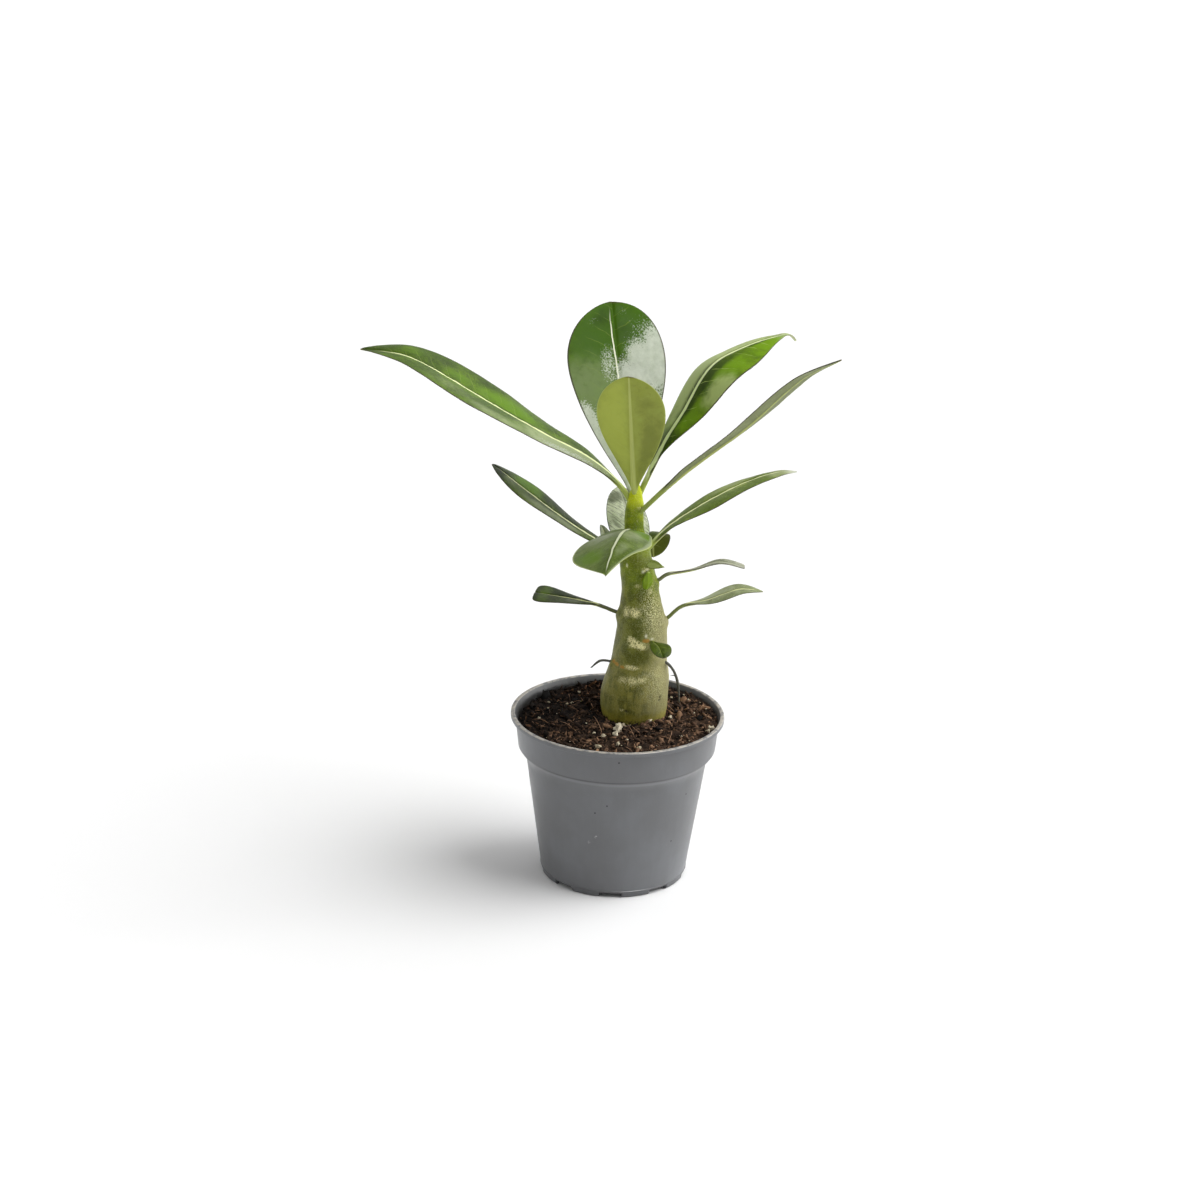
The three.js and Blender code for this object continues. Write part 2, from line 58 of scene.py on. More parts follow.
# Studio: a wide soft light from the right, a room that is brighter at its right, back and left walls
# than behind the camera, and a softbox at the front right that only gives sheen.
SUN_HEADING = -6
SUN_HEIGHT = 53
SUN_ANGLE = 52
SUN_STRENGTH = 2.18
ROOM_DIM = 0.1
ROOM_RIGHT = 3.1
ROOM_RIGHT_BEND = 3
ROOM_RIGHT_HEADING = 18
ROOM_BACK = 0.42
ROOM_LEFT = 0.7
SOFTBOX_AT = (646, -922, 890)
SOFTBOX_TARGET = (0, 0, 200)
SOFTBOX_SIZE = 600
SOFTBOX_POWER = 34
FLOOR_SIZE = 40000
FLOOR_SHADE = 0.93

# Pot.
POT_HEIGHT = 83.5
FOOT_RADIUS = 36
FOOT_WIDTH = 1.8
FOOT_BEVEL = 0.8
FOOT_BAND = 3.2
BODY_TOP = 61
BODY_TOP_RADIUS = 44.6
COLLAR_BOTTOM = 66.6
COLLAR_BOTTOM_RADIUS = 48.6
COLLAR_TOP_RADIUS = 50.3
LIP_RADIUS = 52.5
LIP_DEPTH = 2.2
LIP_INNER = 50.6
WALL = 0.9
FLOOR_UNDERSIDE = 2.2
FLOOR_TOP = 3.3
CENTRE_FOOT_RADIUS = 9
POT_COLUMNS = 216
NOTCH_COUNT = 9
NOTCH_WIDTH = 11
NOTCH_HEIGHT = 2.4
NOTCH_START = -92
NOTCH_SLANT = 0.12
DRAIN_COUNT = 6
DRAIN_RADIUS = 2.5
DRAIN_CIRCLE = 26
DRAIN_SIDES = 32
CRISP_ANGLE = 40.1
POT_SPECKS = [(595, 813), (607, 806), (686, 794), (671, 841), (619, 763)]
POT_SCUFFS = [(596, 837), (589, 842)]
SPECK_SIZE = 0.5
SCUFF_SIZE = 0.9

# Soil.
GAP = 0.3
SOIL_LEVEL = 81.1
SOIL_DIP = 3.6
SOIL_DIP_BEND = 1.4
SOIL_FALL = 0.006
SOIL_LUMP = 0.45
SOIL_COLUMNS = 200
SOIL_RINGS = 90
CRUMB_COUNT = 1500
CRUMB_SIZE = 0.35
CRUMB_SPREAD = 0.9
FLAKE_COUNT = 1300
FLAKE_SIZE = 0.8
FLAKE_SPREAD = 1.7
FLAKE_LENGTH = 1.3
FINE_GRIT_COUNT = 18
FINE_GRIT_SIZE = 0.25
FINE_GRIT_SPREAD = 0.3
FIBRE_COUNT = 90
FIBRE_LIFT = 1.1

# Pale grit on the soil: photograph pixel and size.
GRIT = [
    ((618, 728), 4.6), ((622, 726), 3.0), ((615, 734), 3.4), ((603, 736), 2.6), ((618, 744), 2.4),
    ((598, 747), 2.9), ((639, 748), 2.0), ((649, 721), 2.6), ((670, 717), 1.7), ((711, 728), 2.6),
    ((708, 731), 1.8), ((694, 713), 1.0), ((706, 709), 1.0), ((671, 698), 1.5), ((688, 700), 1.4),
    ((586, 724), 1.3), ((567, 704), 1.5), ((572, 703), 1.3), ((579, 692), 1.3), ((549, 702), 1.3),
    ((548, 708), 1.0), ((539, 718), 1.3), ((681, 736), 1.0), ((684, 695), 0.9), ((627, 740), 1.2),
    ((594, 733), 1.1), ((660, 739), 0.9),
]

# Fibres: pixels of both ends and radius. Dark scraps: pixel, size and flatness.
FIBRES = [
    ((594, 717), (602, 734), 0.2), ((672, 731), (668, 744), 0.18), ((632, 727), (640, 734), 0.22),
    ((627, 724), (634, 737), 0.16), ((667, 705), (674, 712), 0.16), ((560, 722), (572, 728), 0.2),
]
SCRAPS = [
    ((659, 729), 3.2, 0.3), ((545, 696), 2.6, 1.5), ((678, 712), 2.6, 0.3), ((590, 712), 2.2, 0.4),
    ((640, 722), 2.4, 0.4), ((575, 700), 2.2, 0.5), ((700, 718), 2.2, 0.4),
]

# Stem: axis and radii by height.
STEM_Y = 5
STEM_RINGS = 330
STEM_SIDES = 176
STEM_RADII = [
    (52, 2.5), (60, 8.5), (70, 13.2), (80, 15.4), (87, 16.4), (94, 16.4), (100, 15.8), (105, 14.8),
    (109, 13.6), (114, 13.3), (120, 12.8), (126, 12.3), (131, 12.1), (134, 11.3), (140, 10.1),
    (146, 9.1), (152, 8.6), (158, 8.2), (164, 7.5), (170, 6.2), (176, 4.9), (184, 4.5), (190, 3.9),
    (195, 3), (199, 1.2),
]
STEM_AXIS = [
    (52, 8), (80, 8), (94, 8.3), (104, 9.5), (115, 10.1), (127, 10.5), (134, 9.9), (146, 9.2),
    (158, 7.4), (170, 5.9), (181, 5), (190, 5.2), (199, 6),
]
STEM_LUMP = 0.02
SEAT_SWELL = 0.9
SEAT_SPREAD = 2.6
SEAT_DROP = 1
SEAT_TOP = 190
SCARS = [
    (198, 108), (232, 109), (257, 110), (268, 121), (245, 121), (278, 125), (249, 137), (276, 138),
    (20, 116), (95, 110), (130, 122), (60, 128), (150, 142), (75, 146),
]
SCAR_SWELL = 0.55
SCAR_SPREAD = 1.9

# Marks on the stem: photograph pixel, half width, half height and strength.
STEM_MARKS = {
    # Pale scars and patches; the mark at (646, 570) by the bud is a painted glint.
    "pale": [
        ((627, 612), 2.6, 3.2, 0.75), ((635, 613), 3.2, 2.6, 0.85), ((637, 645), 4.6, 1.9, 1.0),
        ((632, 641), 2.8, 1.9, 0.9), ((642, 648), 2.8, 1.5, 0.9), ((630, 638), 1.6, 1.6, 0.7),
        ((631, 668), 3.8, 1.3, 1.0), ((623, 680), 3.0, 1.8, 0.7), ((632, 681), 3.4, 2.0, 0.85),
        ((641, 680), 3.4, 1.9, 0.65), ((622, 710), 1.2, 0.6, 1.0), ((649, 721), 1.8, 0.8, 0.8),
        ((646, 570), 2.2, 1.3, 0.9), ((638, 586), 3.2, 1.3, 0.45), ((640, 508), 1.6, 1.0, 0.5),
        ((637, 521), 0.8, 0.7, 0.5), ((627, 566), 0.9, 0.8, 1.0), ((650, 592), 2.0, 2.0, 0.5)
    ],
    "glint": [
        ((646, 636), 0.5, 0.8, 0.7), ((652, 639), 0.9, 0.5, 0.5), ((627, 565), 0.5, 0.6, 0.6),
        ((643, 572), 0.6, 0.6, 0.8), ((647, 570), 0.6, 0.5, 0.8)
    ],
    "rust": [
        ((614, 661), 1.4, 1.1, 1.0), ((617, 664), 2.2, 1.1, 1.0), ((622, 667), 2.0, 0.9, 0.9),
        ((646, 641), 2.2, 1.2, 1.0), ((627, 668), 1.6, 0.7, 0.5)
    ],
    "olive": [
        ((640, 657), 6.0, 3.4, 1.0), ((620, 612), 1.8, 1.8, 1.0), ((640, 563), 8.0, 5.0, 0.6),
        ((636, 628), 5.5, 4.5, 0.7), ((648, 600), 3.0, 4.0, 0.6), ((630, 655), 4.0, 3.0, 0.6),
        ((646, 717), 1.8, 1.2, 0.9), ((640, 598), 4.0, 5.0, 0.6), ((612, 716), 4.0, 6.0, 0.35)
    ],
    # Pale pebbled grains, partly a painted sheen on the stem's right side.
    "grains_and_sheen": [
        ((653, 612), 6.0, 13.0, 1.0), ((656, 685), 8.0, 10.0, 0.5), ((634, 682), 8.0, 3.0, 0.7)
    ],
    "pit": [
        ((626, 711), 0.9, 0.6, 1.0), ((660, 697), 0.6, 0.6, 1.0), ((659, 700), 0.7, 0.5, 1.0)
    ],
}

# Skin above the stem's foot: where each zone starts and is full, its mottling, and its two colours.
STEM_ZONES = [
    (100, 125, (0.42, 0.58), (74, 82, 8), (110, 114, 38)),
    (140, 158, (0.4, 0.6), (90, 106, 2), (120, 136, 20)),
    (166, 176, (0.35, 0.65), (96, 116, 0), (134, 150, 16)),
]

# Leaves, as in the CAD model. Where a leaf says nothing else, its sway and roll are 0 and its stalk and
# blade are as thick as LEAF_THICK.
LEAF_THICK = (2.4, 0.9)
LEAVES = [
    dict(
        name="leaf_top_back", heading=110, half=(26, 24.2), stalk=0.03, swell=(1.4, 1.1),
        blunt=(0.66, 0.44), spine=[(0.5, 188), (4.5, 194), (17, 220), (28, 244), (38, 262), (47, 277.5)],
        fold=(7, 7), curl=0.08, sway=-2.5, wave=(0.6, 2, 0.4)),
    dict(
        name="leaf_top_front", heading=254, half=(16.8, 17.2), stalk=0.03, swell=(1.3, 1.5),
        blunt=(0.55, 0.75), spine=[(0.5, 192), (3, 199), (8, 219), (13, 239), (18, 257)], fold=(9, 9),
        curl=0.1, wave=(0.3, 1.5, 0)),
    dict(
        name="leaf_left_long", heading=175, half=18.5, stalk=0.06, swell=(1.1, 1.2), blunt=(0.9, 0.75),
        spine=[(1, 188), (5, 195.5), (22, 210.5), (46, 222.5), (73, 237), (101, 252.5), (113, 257),
        (133, 259)], fold=(6, 13), curl=0.08, roll=(0, -3), wave=(0.5, 2, 1), thick=(2.6, 0.9)),
    dict(
        name="leaf_right_upper", heading=30, half=(14.2, 20), stalk=0.06, swell=(1.4, 2.85),
        blunt=(1.4, 2.2), spine=[(1, 191), (5, 199), (16, 219), (26, 233), (37, 250), (44, 255.5),
        (53, 259), (66, 262.5), (77, 264), (84, 264.5), (88, 261)], fold=(-10, -7), curl=0.03,
        wave=(0.6, 2, 2), tip=1.7, thick=(2.2, 0.9)),
    dict(
        name="leaf_right_narrow", heading=322, half=7, stalk=0.14, swell=0.75, blunt=0.6, spine=[(1, 183),
        (7, 189.5), (30, 212.5), (62, 239.5), (94, 270), (113, 281.5)], fold=(5, 5), curl=0.04,
        roll=(-2, -9), wave=(0.3, 2, 0)),
    dict(
        name="leaf_left_middle", heading=170, half=11.5, stalk=0.1, swell=(1.4, 1.25), blunt=0.65,
        spine=[(1, 156), (13, 165.5), (22, 170), (36, 178), (51, 188), (63, 196.5), (73, 203.5)],
        fold=(5, 5), curl=0.08, wave=(0.4, 2, 0)),
    dict(
        name="leaf_right_middle", heading=12, half=(7.6, 11.5), stalk=0.1, swell=(0.9, 1.35),
        blunt=(1.1, 1.1), spine=[(1, 161), (8.5, 170), (17, 178.5), (33, 188.5), (51, 197.5), (69, 203),
        (78, 203)], fold=(5, 5), curl=0.08, wave=(0.4, 2, 0)),
    dict(
        name="leaf_back_middle", heading=94, half=(11, 8.9), stalk=0.12, swell=(0.4, 0.35),
        blunt=(0.5, 0.6), spine=[(1, 164), (8, 169), (17, 179), (26, 190)], fold=(8, 8), curl=0.1, sway=7.5,
        wave=(0.4, 1.5, 0), thick=(2.2, 0.8)),
    dict(
        name="leaf_front_drooping", heading=249, half=(14.6, 24.2), stalk=0.08, swell=(0.5, 1),
        blunt=(1.15, 1.05), spine=[(1, 171), (4, 175.5), (9, 179), (18, 181), (30, 179.8), (42, 176),
        (53, 170.5)], fold=(-17, -23), curl=0.05, sway=5.5, wave=(0.8, 1.5, 0), thick=(2.4, 0.8)),
    dict(
        name="leaf_back_right", heading=77, half=9.5, stalk=0.12, swell=1, blunt=0.7, spine=[(1, 156),
        (9, 162), (20, 168), (30, 165), (37, 150.5)], fold=(5, 5), curl=0.1, wave=(0.4, 1.5, 0),
        thick=(2.2, 0.8)),
    dict(
        name="leaf_back_small", heading=144, half=4.5, stalk=0.2, swell=1, blunt=0.8, spine=[(3, 156),
        (9, 159), (17, 165), (23, 174)], fold=(5, 5), curl=0, wave=(0.2, 1.5, 0), thick=(1.8, 0.8)),
    dict(
        name="leaf_right_edge_on", heading=0, half=3.8, stalk=0.2, swell=1.5, blunt=0.15, spine=[(5, 149),
        (9, 151), (13, 154), (26, 157.3), (39, 161), (50.5, 158.8)], fold=(6, 6), curl=0, roll=(-4, 2),
        wave=(0.3, 1.5, 0), thick=(1.8, 0.8)),
    dict(
        name="leaf_right_lowest", heading=5, half=7.4, stalk=0.28, swell=1, blunt=0.7, spine=[(8, 129),
        (12, 130.8), (19, 137), (32, 140.4), (48, 145.8), (59, 144.8)], fold=(4, 4), curl=0.05,
        wave=(0.4, 1.5, 0), thick=(1.8, 0.8)),
    dict(
        name="leaf_left_lowest", heading=180, half=(12.5, 11), stalk=0.28, swell=1.2, blunt=0.2,
        spine=[(8, 133), (12, 134), (18, 136.3), (24, 138.3), (37, 140.5), (52, 142.8)], fold=(4, 4),
        curl=0.05, wave=(0.3, 1.5, 0), skew=0.14, thick=(1.8, 0.8)),
    dict(
        name="leaf_front_small", heading=291, half=(6, 4.3), stalk=0.3, swell=0.9, blunt=0.5,
        spine=[(9, 120.5), (14, 123.5), (22, 124.5), (29, 121)], fold=(4, 4), curl=0.1, wave=(0.3, 1.5, 0),
        thick=(1.8, 0.8)),
    dict(
        name="shoot_leaf", heading=322, half=(1.4, 3.5), stalk=0.2, swell=0.5, blunt=(1.2, 0.8),
        spine=[(4, 161), (7, 162), (12, 162), (16.8, 161.3)], fold=(4, 4), curl=0, roll=(40, 40),
        wave=(0.2, 1.5, 0), thick=(1.6, 0.8)),
    dict(
        name="shoot_bud", heading=289, half=2.6, stalk=0.15, swell=0.8, blunt=0.8, spine=[(6, 148),
        (9, 150), (11, 154), (11, 159)], fold=(4, 4), curl=0, wave=(0.1, 1.5, 0), thick=(1.8, 1.4)),
]
DRIED_STALKS = [
    dict(
        name="dried_stalk_left", heading=190, thick=(1.6, 0.8), spine=[(11, 108), (16, 109.5),
        (19.5, 109.5), (24, 106)]),
    dict(
        name="dried_stalk_right", heading=340, thick=(1.8, 0.8), spine=[(10, 110), (14, 110), (17.5, 107),
        (20, 101.5), (21.5, 90)]),
]

# Colour of each leaf's upper face, dark and light, and of its under face.
LEAF_LOOKS = {
    "leaf_top_back": dict(
        deep=(58, 86, 2), bright=(80, 114, 6), under=(112, 124, 60), rough=0.32, sheen=0.04,
        vivid=(62, 98, 0), pale=(120, 140, 84), rib=(240, 242, 214), rib_lean=1.7),
    # leaf_top_front's pale yellow under face and bright edge paint light shining through the leaf and along
    # its margin.
    "leaf_top_front": dict(
        deep=(70, 96, 10), bright=(92, 120, 18), under=(146, 156, 66), rib_width=0.9, edge=(172, 182, 96),
        veins=0.1),
    "leaf_left_long": dict(
        deep=(66, 90, 10), bright=(90, 118, 18), under=(112, 124, 60), rib_width=1.0, rib=(232, 240, 180),
        pale=(158, 170, 122)),
    # leaf_right_upper's bright yellow-greens paint the glow of light shining through the leaf.
    "leaf_right_upper": dict(
        deep=(70, 98, 0), bright=(112, 144, 6), under=(150, 160, 96), rib_width=1.4, rib=(236, 248, 184),
        vivid=(114, 154, 0), pale=(188, 204, 128), tip=(222, 226, 190), tip_start=0.86, veins=0.8,
        vein_tone=(176, 198, 100)),
    "leaf_right_narrow": dict(
        deep=(66, 78, 34), bright=(92, 100, 54), under=(122, 130, 88), stalk=(150, 164, 84), rib_width=0.7,
        edge=(66, 62, 46)),
    "leaf_left_middle": dict(
        deep=(46, 64, 4), bright=(80, 102, 18), under=(112, 120, 70), rib=(240, 244, 194), sheen=0.08,
        rib_width=1.0, pale=(142, 152, 112)),
    "leaf_right_middle": dict(
        deep=(96, 118, 30), bright=(136, 154, 62), under=(124, 132, 80), rib=(236, 240, 186),
        rib_width=0.95, pale=(160, 168, 128), tip=(214, 216, 204), tip_start=0.9),
    # leaf_back_middle's near-white greens are a painted reflection on a leaf that sits in shade.
    "leaf_back_middle": dict(
        deep=(200, 210, 176), bright=(236, 242, 216), under=(120, 130, 90), edge=(40, 44, 30), veins=0,
        rib=(200, 206, 180), streaks=0.65),
    # leaf_front_drooping's pale edge is a painted sheen along its margin.
    "leaf_front_drooping": dict(
        deep=(86, 105, 40), bright=(108, 126, 58), under=(150, 164, 84), veins=0.06, edge=(168, 178, 110),
        vivid=(96, 128, 14), pale=(144, 154, 116), rib=(212, 218, 184), rib_width=0.9),
    "leaf_back_right": dict(
        deep=(64, 80, 14), bright=(84, 100, 22), under=(86, 96, 22), stalk=(110, 124, 50)),
    "leaf_back_small": dict(
        deep=(150, 158, 126), bright=(176, 184, 156), under=(168, 176, 146)),
    "leaf_right_edge_on": dict(
        deep=(146, 150, 126), bright=(174, 175, 156), under=(150, 154, 132), stalk=(116, 122, 84),
        edge=(96, 94, 78), veins=0.1, rib=(196, 198, 170)),
    "leaf_right_lowest": dict(
        deep=(134, 144, 100), bright=(172, 180, 138), under=(160, 168, 124), stalk=(122, 132, 76),
        sheen=0.1, pale=(184, 190, 156), edge=(86, 88, 62)),
    "leaf_left_lowest": dict(
        deep=(42, 56, 16), bright=(66, 80, 30), under=(100, 108, 66), stalk=(88, 94, 50), sheen=0.08,
        pale=(134, 140, 116), vivid=(92, 118, 34)),
    "leaf_front_small": dict(
        deep=(52, 68, 12), bright=(74, 90, 24), under=(100, 108, 50), rib=(112, 126, 50), rib_width=0.4,
        stalk=(110, 120, 40), sheen=0.1),
    # shoot_leaf is painted lighter than its own green, to stand in for light on its shaded face.
    "shoot_leaf": dict(
        deep=(136, 150, 78), bright=(160, 172, 102), under=(160, 172, 100), rib=(146, 160, 84),
        low_rib=(164, 176, 104), rib_width=0.4, sheen=0.1, edge=(78, 86, 34)),
    "shoot_bud": dict(
        deep=(88, 124, 0), bright=(118, 156, 2), under=(110, 136, 20), rib=(110, 150, 10),
        low_rib=(130, 158, 30), rib_width=0.3, stalk=(110, 140, 10), edge=(96, 124, 10),
        tip=(206, 220, 120), tip_start=0.9),
}

# Marks on leaves: run from base to tip, place across from -1 to 1, half sizes and strength.
# Pale marks are partly a painted sheen, and wet marks are a painted glare.
LEAF_MARKS = {
    "leaf_top_back": dict(
        vivid=[(0.97, 0, 0.28, 1.3, 1), (0.8, 0.4, 0.12, 0.6, 1)],
        dark=[(0.92, 0.35, 0.08, 0.4, 0.5), (0.84, -0.2, 0.07, 0.4, 0.4)],
        pale=[(0.56, 0.65, 0.17, 0.7, 0.9), (0.4, 0.5, 0.2, 0.8, 0.9)],
        wet_glare=[(0.7, -0.88, 0.21, 0.4, 0.95), (0.66, -0.52, 0.17, 0.42, 0.95), (0.6, -0.18, 0.13, 0.3, 0.85),
             (0.38, -0.5, 0.2, 0.8, 0.95), (0.83, -0.5, 0.12, 0.3, 0.36), (0.68, 0.2, 0.13, 0.22, 0.52),
             (0.4, 0.9, 0.12, 0.25, 0.8), (0.25, 0.8, 0.14, 0.5, 1.1), (0.42, 0.5, 0.1, 0.3, 0.5),
             (0.1, 0.6, 0.12, 0.9, 1.1), (0.95, -0.3, 0.04, 0.4, 0.31), (0.9, 0.6, 0.04, 0.3, 0.31)]),
    "leaf_top_front": dict(
        pale=[(0.6, -0.55, 0.42, 0.5, 1)], dark=[(0.45, 0.65, 0.3, 0.4, 0.9), (0.75, 0.5, 0.12, 0.4, 0.6)]),
    "leaf_left_long": dict(
        vivid=[(0.46, -0.35, 0.13, 0.35, 1), (0.66, -0.3, 0.06, 0.25, 0.55), (0.84, -0.5, 0.05, 0.3, 0.5)],
        pale=[(0.22, 0.6, 0.2, 0.75, 1.1), (0.48, 0.8, 0.14, 0.3, 0.6), (0.68, 0.6, 0.12, 0.4, 0.35)],
        wet_glare=[(0.22, 0.8, 0.18, 0.35, 0.55)],
        dark=[(0.74, -0.6, 0.05, 0.35, 0.5), (0.57, -0.75, 0.05, 0.25, 0.5), (0.98, 0, 0.07, 1.3, 0.7)]),
    "leaf_right_upper": dict(
        vivid=[(0.62, -0.5, 0.13, 0.6, 0.8), (0.85, -0.4, 0.15, 0.8, 1), (0.33, -0.6, 0.08, 0.5, 0.8)],
        pale=[(0.58, 0.75, 0.38, 0.7, 1.2), (0.49, -0.85, 0.09, 0.42, 1.1)],
        dark=[(0.12, 0, 0.14, 1.3, 1), (0.5, -0.15, 0.24, 0.2, 1), (0.8, -0.1, 0.12, 0.15, 0.7),
              (0.46, 0.12, 0.14, 0.16, 0.7)]),
    "leaf_left_middle": dict(
        vivid=[(0.74, -0.5, 0.12, 0.5, 1)],
        pale=[(0.48, 0.65, 0.3, 0.38, 0.8), (0.85, 0.3, 0.06, 0.6, 0.5)],
        dark=[(0.42, -0.6, 0.25, 0.5, 0.8), (0.96, 0, 0.06, 1.2, 0.8)]),
    "leaf_right_middle": dict(
        pale=[(0.94, 0, 0.13, 1.3, 1), (0.62, 0.6, 0.2, 0.5, 0.6)],
        dark=[(0.14, 0, 0.1, 1.2, 0.4)]),
    "leaf_front_drooping": dict(
        vivid=[(0.68, -0.65, 0.13, 0.4, 1), (0.15, 0.6, 0.09, 0.4, 0.9)],
        pale=[(0.3, 0.2, 0.16, 0.5, 0.7), (0.55, 0.96, 0.6, 0.1, 1), (0.3, -0.6, 0.16, 0.5, 0.8),
              (0.62, 0.35, 0.16, 0.3, 0.5)],
        dark=[(0.4, 0.75, 0.2, 0.3, 0.2)]),
    "leaf_back_middle": dict(dark=[(0.85, 0.4, 0.1, 0.7, 0.9)]),
    "leaf_left_lowest": dict(
        vivid=[(0.85, 0, 0.1, 1.3, 0.6)], pale=[(0.3, 0.5, 0.3, 0.4, 0.7)]),
    "leaf_right_lowest": dict(pale=[(0.3, 0.5, 0.3, 0.6, 0.8)]),
}
LEAF_STATIONS = 96
SMALL_STATIONS = 56
SMALL_LEAF = 35
STALK_STATIONS = 44
MIDRIB_STEPS = 60
QUILT_HEIGHT = 0.05
GROOVE_DEPTH = 0.28
GROOVE_WIDTH = 0.8
TIP_CROWDING = 1.6
TIP_HALF = 0.3
TIP_START = 0.93
STALK_FADE = 0.22
ACROSS = [
    0, 0.02, 0.045, 0.08, 0.13, 0.19, 0.26, 0.34, 0.43,
    0.52, 0.61, 0.7, 0.78, 0.85, 0.91, 0.955, 0.985, 1,
]
VEIN_SPACING = 7.5
VEIN_SLOPE = 0.55


def srgb(red, green, blue):
    """A screen colour, 0 to 255, as the linear colour that a shader takes."""
    linear = []
    for value in (red, green, blue):
        share = value / 255
        linear.append(share / 12.92 if share <= 0.04045 else ((share + 0.055) / 1.055) ** 2.4)
    return (*linear, 1)


def shade(colour, share):
    """A darker or lighter colour, with each value times a share."""
    return tuple(value * share for value in colour)


def limit(value):
    return np.clip(value, 0, 1)


def ease(value):
    return limit(value) ** 2 * (3 - 2 * limit(value))


def mix(a, b, share):
    return a + (b - a) * share


def along(pairs, places):
    """Values at places in a list of (place, value) pairs, on the CAD model's smooth curve."""
    x, y = np.array(pairs, float).T
    places = np.asarray(places, float)
    last = len(x) - 1
    before = np.maximum(np.arange(last + 1) - 1, 0)
    behind = np.minimum(np.arange(last + 1) + 1, last)
    slope = (y[behind] - y[before]) / (x[behind] - x[before])
    k = np.maximum(np.minimum(np.searchsorted(x, places), last) - 1, 0)
    step = x[k + 1] - x[k]
    rise = y[k + 1] - y[k]
    u = limit((places - x[k]) / step)
    square = 3 * rise - step * (2 * slope[k] + slope[k + 1])
    cube = step * (slope[k] + slope[k + 1]) - 2 * rise
    return y[k] + u * (step * slope[k] + u * (square + u * cube))


def grain(points, size, seed):
    """Smooth noise from -1 to 1 at each point, with lumps of about the given size."""
    shift = Vector((seed * 17.3, seed * 5.1, seed * 9.7))
    flat = np.asarray(points, float).reshape(-1, 3)
    values = [noise.noise(Vector(p) / size + shift) for p in flat]
    return np.array(values).reshape(np.asarray(points).shape[:-1])


def add_object(name, data):
    thing = bpy.data.objects.new(name, data)
    bpy.context.scene.collection.objects.link(thing)
    return thing


# Camera.
def camera_axes():
    down, roll = math.radians(CAMERA_DOWN), math.radians(CAMERA_ROLL)
    ahead = Vector((0, math.cos(down), -math.sin(down)))
    level = Vector((1, 0, 0))
    upright = Vector((0, math.sin(down), math.cos(down)))
    right = math.cos(roll) * level + math.sin(roll) * upright
    up = math.cos(roll) * upright - math.sin(roll) * level
    return right, up, ahead, Vector(CAMERA_TARGET) - CAMERA_DISTANCE * ahead


def make_camera():
    right, up, ahead, place = camera_axes()
    data = bpy.data.cameras.new("camera")
    data.lens = LENS
    data.sensor_width = FILM_WIDTH
    data.clip_end = 100
    camera = add_object("camera", data)
    turn = Matrix((right, up, -ahead)).transposed().to_4x4()
    camera.matrix_world = Matrix.Translation(place * MM) @ turn
    bpy.context.scene.camera = camera


def first_hit(pixel, is_inside):
    """The first point on a pixel's line of sight that is inside something, in millimetres."""
    right, up, ahead, place = camera_axes()
    focal = LENS / FILM_WIDTH * IMAGE_SIZE
    across, above = pixel[0] - IMAGE_SIZE / 2, IMAGE_SIZE / 2 - pixel[1]
    sight = (focal * ahead + across * right + above * up).normalized()
    reach = CAMERA_DISTANCE - SIGHT_MARGIN
    while reach < CAMERA_DISTANCE + SIGHT_MARGIN:
        point = place + reach * sight
        if is_inside(point):
            return point
        reach += SIGHT_STEP
    return None


# Meshes.
def make_piece(name, points, faces, material, slot, replaced=(), values=None):
    """A smooth mesh piece that rides with the plant; points are millimetres."""
    mesh = bpy.data.meshes.new(name)
    mesh.from_pydata((np.asarray(points, float) * MM).tolist(), [], faces)
    for key, numbers in (values or {}).items():
        layer = mesh.attributes.new(key, "FLOAT", "POINT")
        layer.data.foreach_set("value", np.asarray(numbers, np.float32).ravel())
    shape = bmesh.new()
    shape.from_mesh(mesh)
    bmesh.ops.recalc_face_normals(shape, faces=shape.faces)
    for face in shape.faces:
        face.smooth = True
    shape.to_mesh(mesh)
    shape.free()
    mesh.materials.append(material)
    piece = add_object(name, mesh)
    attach(piece, "root")
    if replaced:
        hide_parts(*replaced)
    return piece


def loft_faces(ring_count, sides):
    """Faces of a closed tube of rings, with an end cap at each end."""
    faces = []
    for k in range(ring_count - 1):
        for j in range(sides):
            a = k * sides + j
            b = k * sides + (j + 1) % sides
            faces.append((a, b, b + sides, a + sides))
    faces.append(tuple(reversed(range(sides))))
    faces.append(tuple((ring_count - 1) * sides + j for j in range(sides)))
    return faces


def join_parts(parts):
    """Joins (points, faces) parts into one list of points and one of faces."""
    points, faces, count = [], [], 0
    for part_points, part_faces in parts:
        points.append(np.asarray(part_points, float))
        faces.extend(tuple(i + count for i in face) for face in part_faces)
        count += len(part_points)
    return np.concatenate(points), faces


